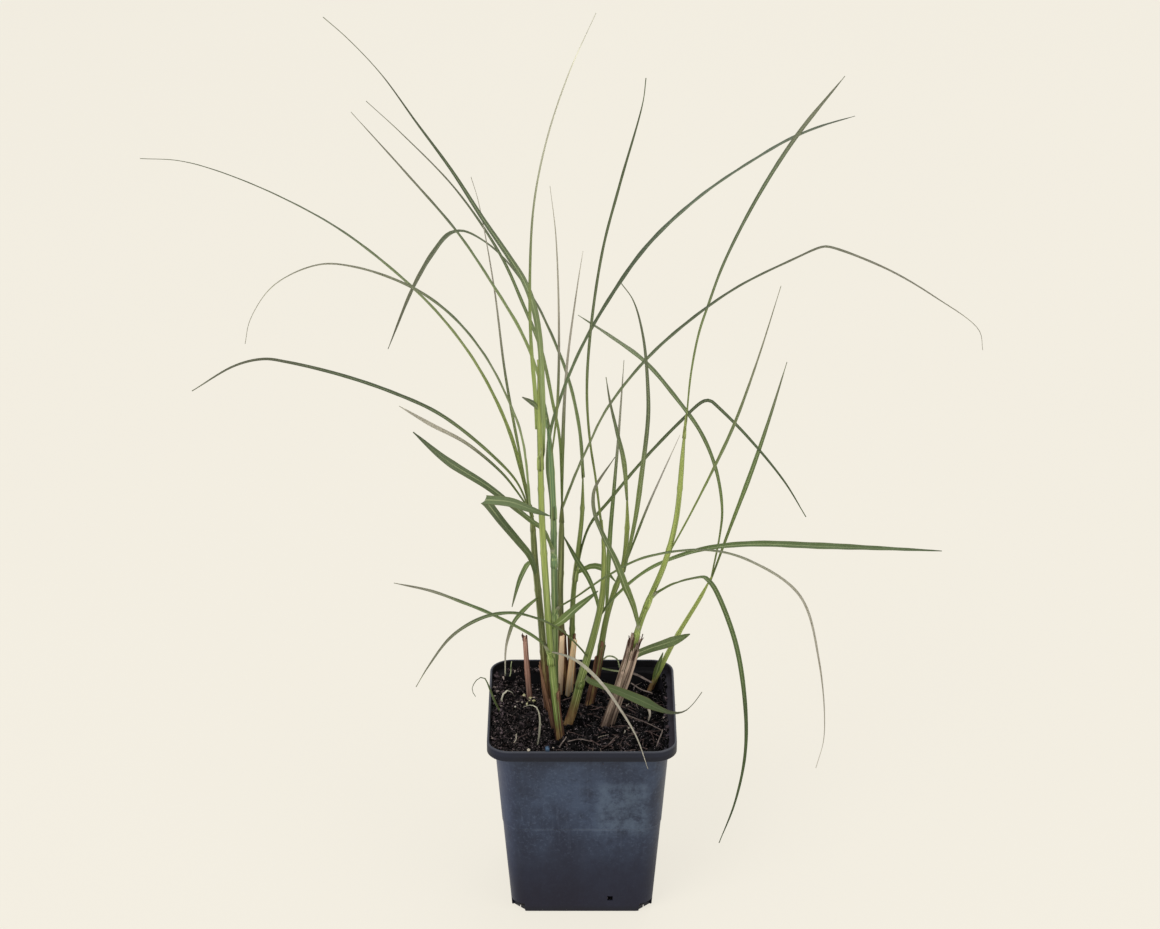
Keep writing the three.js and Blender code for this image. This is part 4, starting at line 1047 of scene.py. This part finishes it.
def placed_litter():
    """The small things that stand out: moss by the cane, pale specks, a blue grain of feed, dry scraps."""
    rnd = random.Random(33)
    build = Build()
    for across, down, size, slot, count in MOSS_SPOTS:
        spot = sighted_on_soil(across, down)
        spread = 1.8 * size if count > 1 else 0
        for _ in range(count):
            grain = crumb(rnd, size * rnd.uniform(0.8, 1.2))
            place = spot + [rnd.gauss(0, spread), rnd.gauss(0, spread), 0.9 * size]
            build.lump(grain, place, slot, rnd.random())
    for place, size, slot in GRAINS:
        build.lump(crumb(rnd, size), sighted(place), slot, 0.2)
    for seed, (width, slot, line) in enumerate(SCRAPS, 700):
        middle = smooth_line(line, SCRAP_STEP)
        add_strip(build, middle, width, 0.6, seed, (0.2, 0.9, 0.4), slot, root=0.0)
    build.piece("moss_and_grains", [MOSS, PALE_BIT, BLUE_GRAIN, PALE_GREEN, OLD_STRAW], None, "soil")


# Pot

SHARPEST_SMOOTH = math.radians(32)


def plain(name, rings):
    build = Build()
    build.grid(np.array(rings))
    return linked(name, build.mesh(name))


def prism(name, flat, low, high):
    return plain(name, [level_ring(flat, z) for z in (low, high)])


def bar(name, wide, deep, high, centre, turn):
    cos, sin = math.cos(turn), math.sin(turn)
    x, y, z = centre
    flat = np.array([[-wide, -deep], [wide, -deep], [wide, deep], [-wide, deep]]) / 2
    return prism(name, flat @ [[cos, sin], [-sin, cos]] + (x, y), z - high / 2, z + high / 2)


def cut(target, cutters):
    for cutter in cutters:
        step = target.modifiers.new(cutter.name, "BOOLEAN")
        step.operation, step.object, step.solver = "DIFFERENCE", cutter, "EXACT"
    done = bpy.data.meshes.new_from_object(target.evaluated_get(bpy.context.evaluated_depsgraph_get()))
    target.modifiers.clear()
    target.data = done
    for cutter in cutters:
        bpy.data.objects.remove(cutter)


def moulding(name, profile):
    """A solid from heights, each with its width and corner radius."""
    return plain(name, [level_ring(square_ring(*size), z) for z, size in profile])


def pot_cutters():
    """All that is hollow or open: the inside, the recessed foot, the drain holes and the corner notches."""
    width, corner = body_size(BAND_FOOT, WALL)
    yield moulding("hollow", [
        (FLOOR_THICKNESS, body_size(FLOOR_THICKNESS, WALL)), (LEDGE - 0.6, (width, corner)),
        (LEDGE, (width + 1.0, corner + 0.3)), (LEDGE, rim_size(WALL + 0.4)), (LEDGE + 0.4, rim_size(WALL)),
        (POT_HEIGHT - 0.5, rim_size(WALL)), (POT_HEIGHT + 0.6, rim_size(WALL - 0.8))])
    reach = BODY_WIDTH_FOOT / 2 - FOOT_BORDER
    inner = FOOT_PAD * 0.75
    recess = ((FOOT_RIB, FOOT_PAD), (inner, inner), (FOOT_PAD, FOOT_RIB), (reach, FOOT_RIB), (reach, reach),
              (FOOT_RIB, reach))
    turn = circle(32)[0]
    hole = DRAIN_RADIUS * np.column_stack([np.cos(turn), np.sin(turn)])
    for quarter in range(4):
        yield prism("recess", np.array([turned(x, y, quarter) for x, y in recess]), -1.0, FOOT_RECESS)
        diagonal = turned(1, 1, quarter)
        yield prism("drain", hole + diagonal * DRAIN_PLACE, -4.0, 4.0)
        notch = (*diagonal * (BODY_WIDTH_FOOT / 2 - NOTCH_INSET), 0.0)
        yield bar("notch", CORNER_NOTCH, CORNER_NOTCH, CORNER_NOTCH, notch, math.pi / 4)
        side = (*turned(SIDE_DRAIN_ACROSS, -BODY_WIDTH_FOOT / 2, quarter), SIDE_DRAIN_HEIGHT)
        yield bar("side_drain", SIDE_DRAIN, 8, SIDE_DRAIN, side, quarter * math.pi / 2)


def pot_piece():
    width, corner = body_size(BAND_FOOT)
    pot = moulding("pot_moulding", [
        (0, body_size(0, 0.5)), (0.5, body_size(0.5)), (MOULD_LINE_HEIGHT, body_size(MOULD_LINE_HEIGHT)),
        (MOULD_LINE_HEIGHT + 0.3, body_size(MOULD_LINE_HEIGHT, -MOULD_LINE_STEP)),
        (BAND_FOOT - 0.8, (width, corner)), (BAND_FOOT - 0.2, body_size(BAND_FOOT, -0.3)),
        (BAND_FOOT, (width + 1.6, corner)), (BAND_FOOT, rim_size(0.4)), (BAND_FOOT + 0.4, rim_size()),
        (POT_HEIGHT - 0.5, rim_size()), (POT_HEIGHT - 0.15, rim_size(0.15)), (POT_HEIGHT, rim_size(0.5))])
    cut(pot, list(pot_cutters()))
    pot.data.materials.append(POT)
    shape = bmesh.new()
    shape.from_mesh(pot.data)
    bmesh.ops.remove_doubles(shape, verts=shape.verts, dist=1e-6)
    for face in shape.faces:
        face.smooth = True
    for edge in shape.edges:
        edge.smooth = len(edge.link_faces) == 2 and edge.calc_face_angle(0) < SHARPEST_SMOOTH
    inner = shape.verts.layers.float.new("along")  # 1 on the pot's lining, as its material reads it
    for vertex in shape.verts:
        x, y, z = vertex.co / MM
        width, corner = body_size(z) if z < BAND_FOOT + 0.1 else rim_size()
        over = np.maximum(np.abs([x, y]) - (width / 2 - corner), 0)
        vertex[inner] = 1.0 if z > FLOOR_THICKNESS - 0.1 and np.hypot(*over) < corner - 0.85 else 0.0
    shape.to_mesh(pot.data)
    shape.free()
    declare(pot, "pot", "pot")


# Stage, light and camera

FLOOR_REACH = 8.0
FLOOR_GLOW, SKY_GLOW = 0.85, 0.62


def stage():
    n = Nodes("floor_paper")
    paper = n.finish(n.mix(n.noise(n.place(), 3, 2), (98, 96, 90), (102, 100, 94)), 0.95, 0.0)
    n.shader.inputs["Emission Color"].default_value = linear(242, 237, 225)
    n.shader.inputs["Emission Strength"].default_value = FLOOR_GLOW
    mesh = bpy.data.meshes.new("floor")
    corners = [(FLOOR_REACH * x, FLOOR_REACH * y, 0) for x, y in ((-1, -1), (1, -1), (1, 1), (-1, 1))]
    mesh.from_pydata(corners, [], [(0, 1, 2, 3)])
    mesh.materials.append(paper)
    linked("floor", mesh)


def area_light(name, place, aim_height, size, power, colour=(1, 1, 1)):
    lamp = bpy.data.lights.new(name, "AREA")
    lamp.shape, lamp.size, lamp.energy, lamp.color = "DISK", size, power, colour
    light = linked(name, lamp)
    light.location = place
    light.rotation_mode = "QUATERNION"
    light.rotation_quaternion = (Vector((0, 0, aim_height)) - Vector(place)).to_track_quat("-Z", "Y")


def light_and_camera():
    scene = bpy.context.scene
    scene.view_settings.view_transform = "Standard"
    scene.world = bpy.data.worlds.new("studio")
    scene.world.use_nodes = True
    sky = scene.world.node_tree.nodes["Background"]
    sky.inputs["Color"].default_value = (1.0, 0.99, 0.97, 1)
    sky.inputs["Strength"].default_value = SKY_GLOW
    area_light("key", (-1.1, -1.5, 2.0), 0.2, 1.6, 34, (1.0, 0.98, 0.95))
    area_light("fill", (1.6, -1.2, 1.1), 0.2, 1.8, 11)
    area_light("back", (0.3, 1.6, 1.7), 0.25, 1.4, 12)

    lens = bpy.data.cameras.new("camera")
    lens.sensor_width = 36.0
    lens.lens = SIGHT_UNITS_PER_SLOPE / SIGHT_WIDTH * lens.sensor_width
    lens.clip_start, lens.clip_end = 0.05, 50
    camera = linked("camera", lens)
    back = Vector((0, -math.cos(LOOK_DOWN), math.sin(LOOK_DOWN)))
    camera.location = (Vector(SIGHT_AIM) + back * SIGHT_DISTANCE) * MM
    camera.rotation_euler = (math.pi / 2 - LOOK_DOWN, 0, 0)
    scene.camera = camera


leafy_stems()
soil_blades()
sheath_bundle()
cut_cane()
soil_piece()
litter()
placed_litter()
pot_piece()
stage()
light_and_camera()
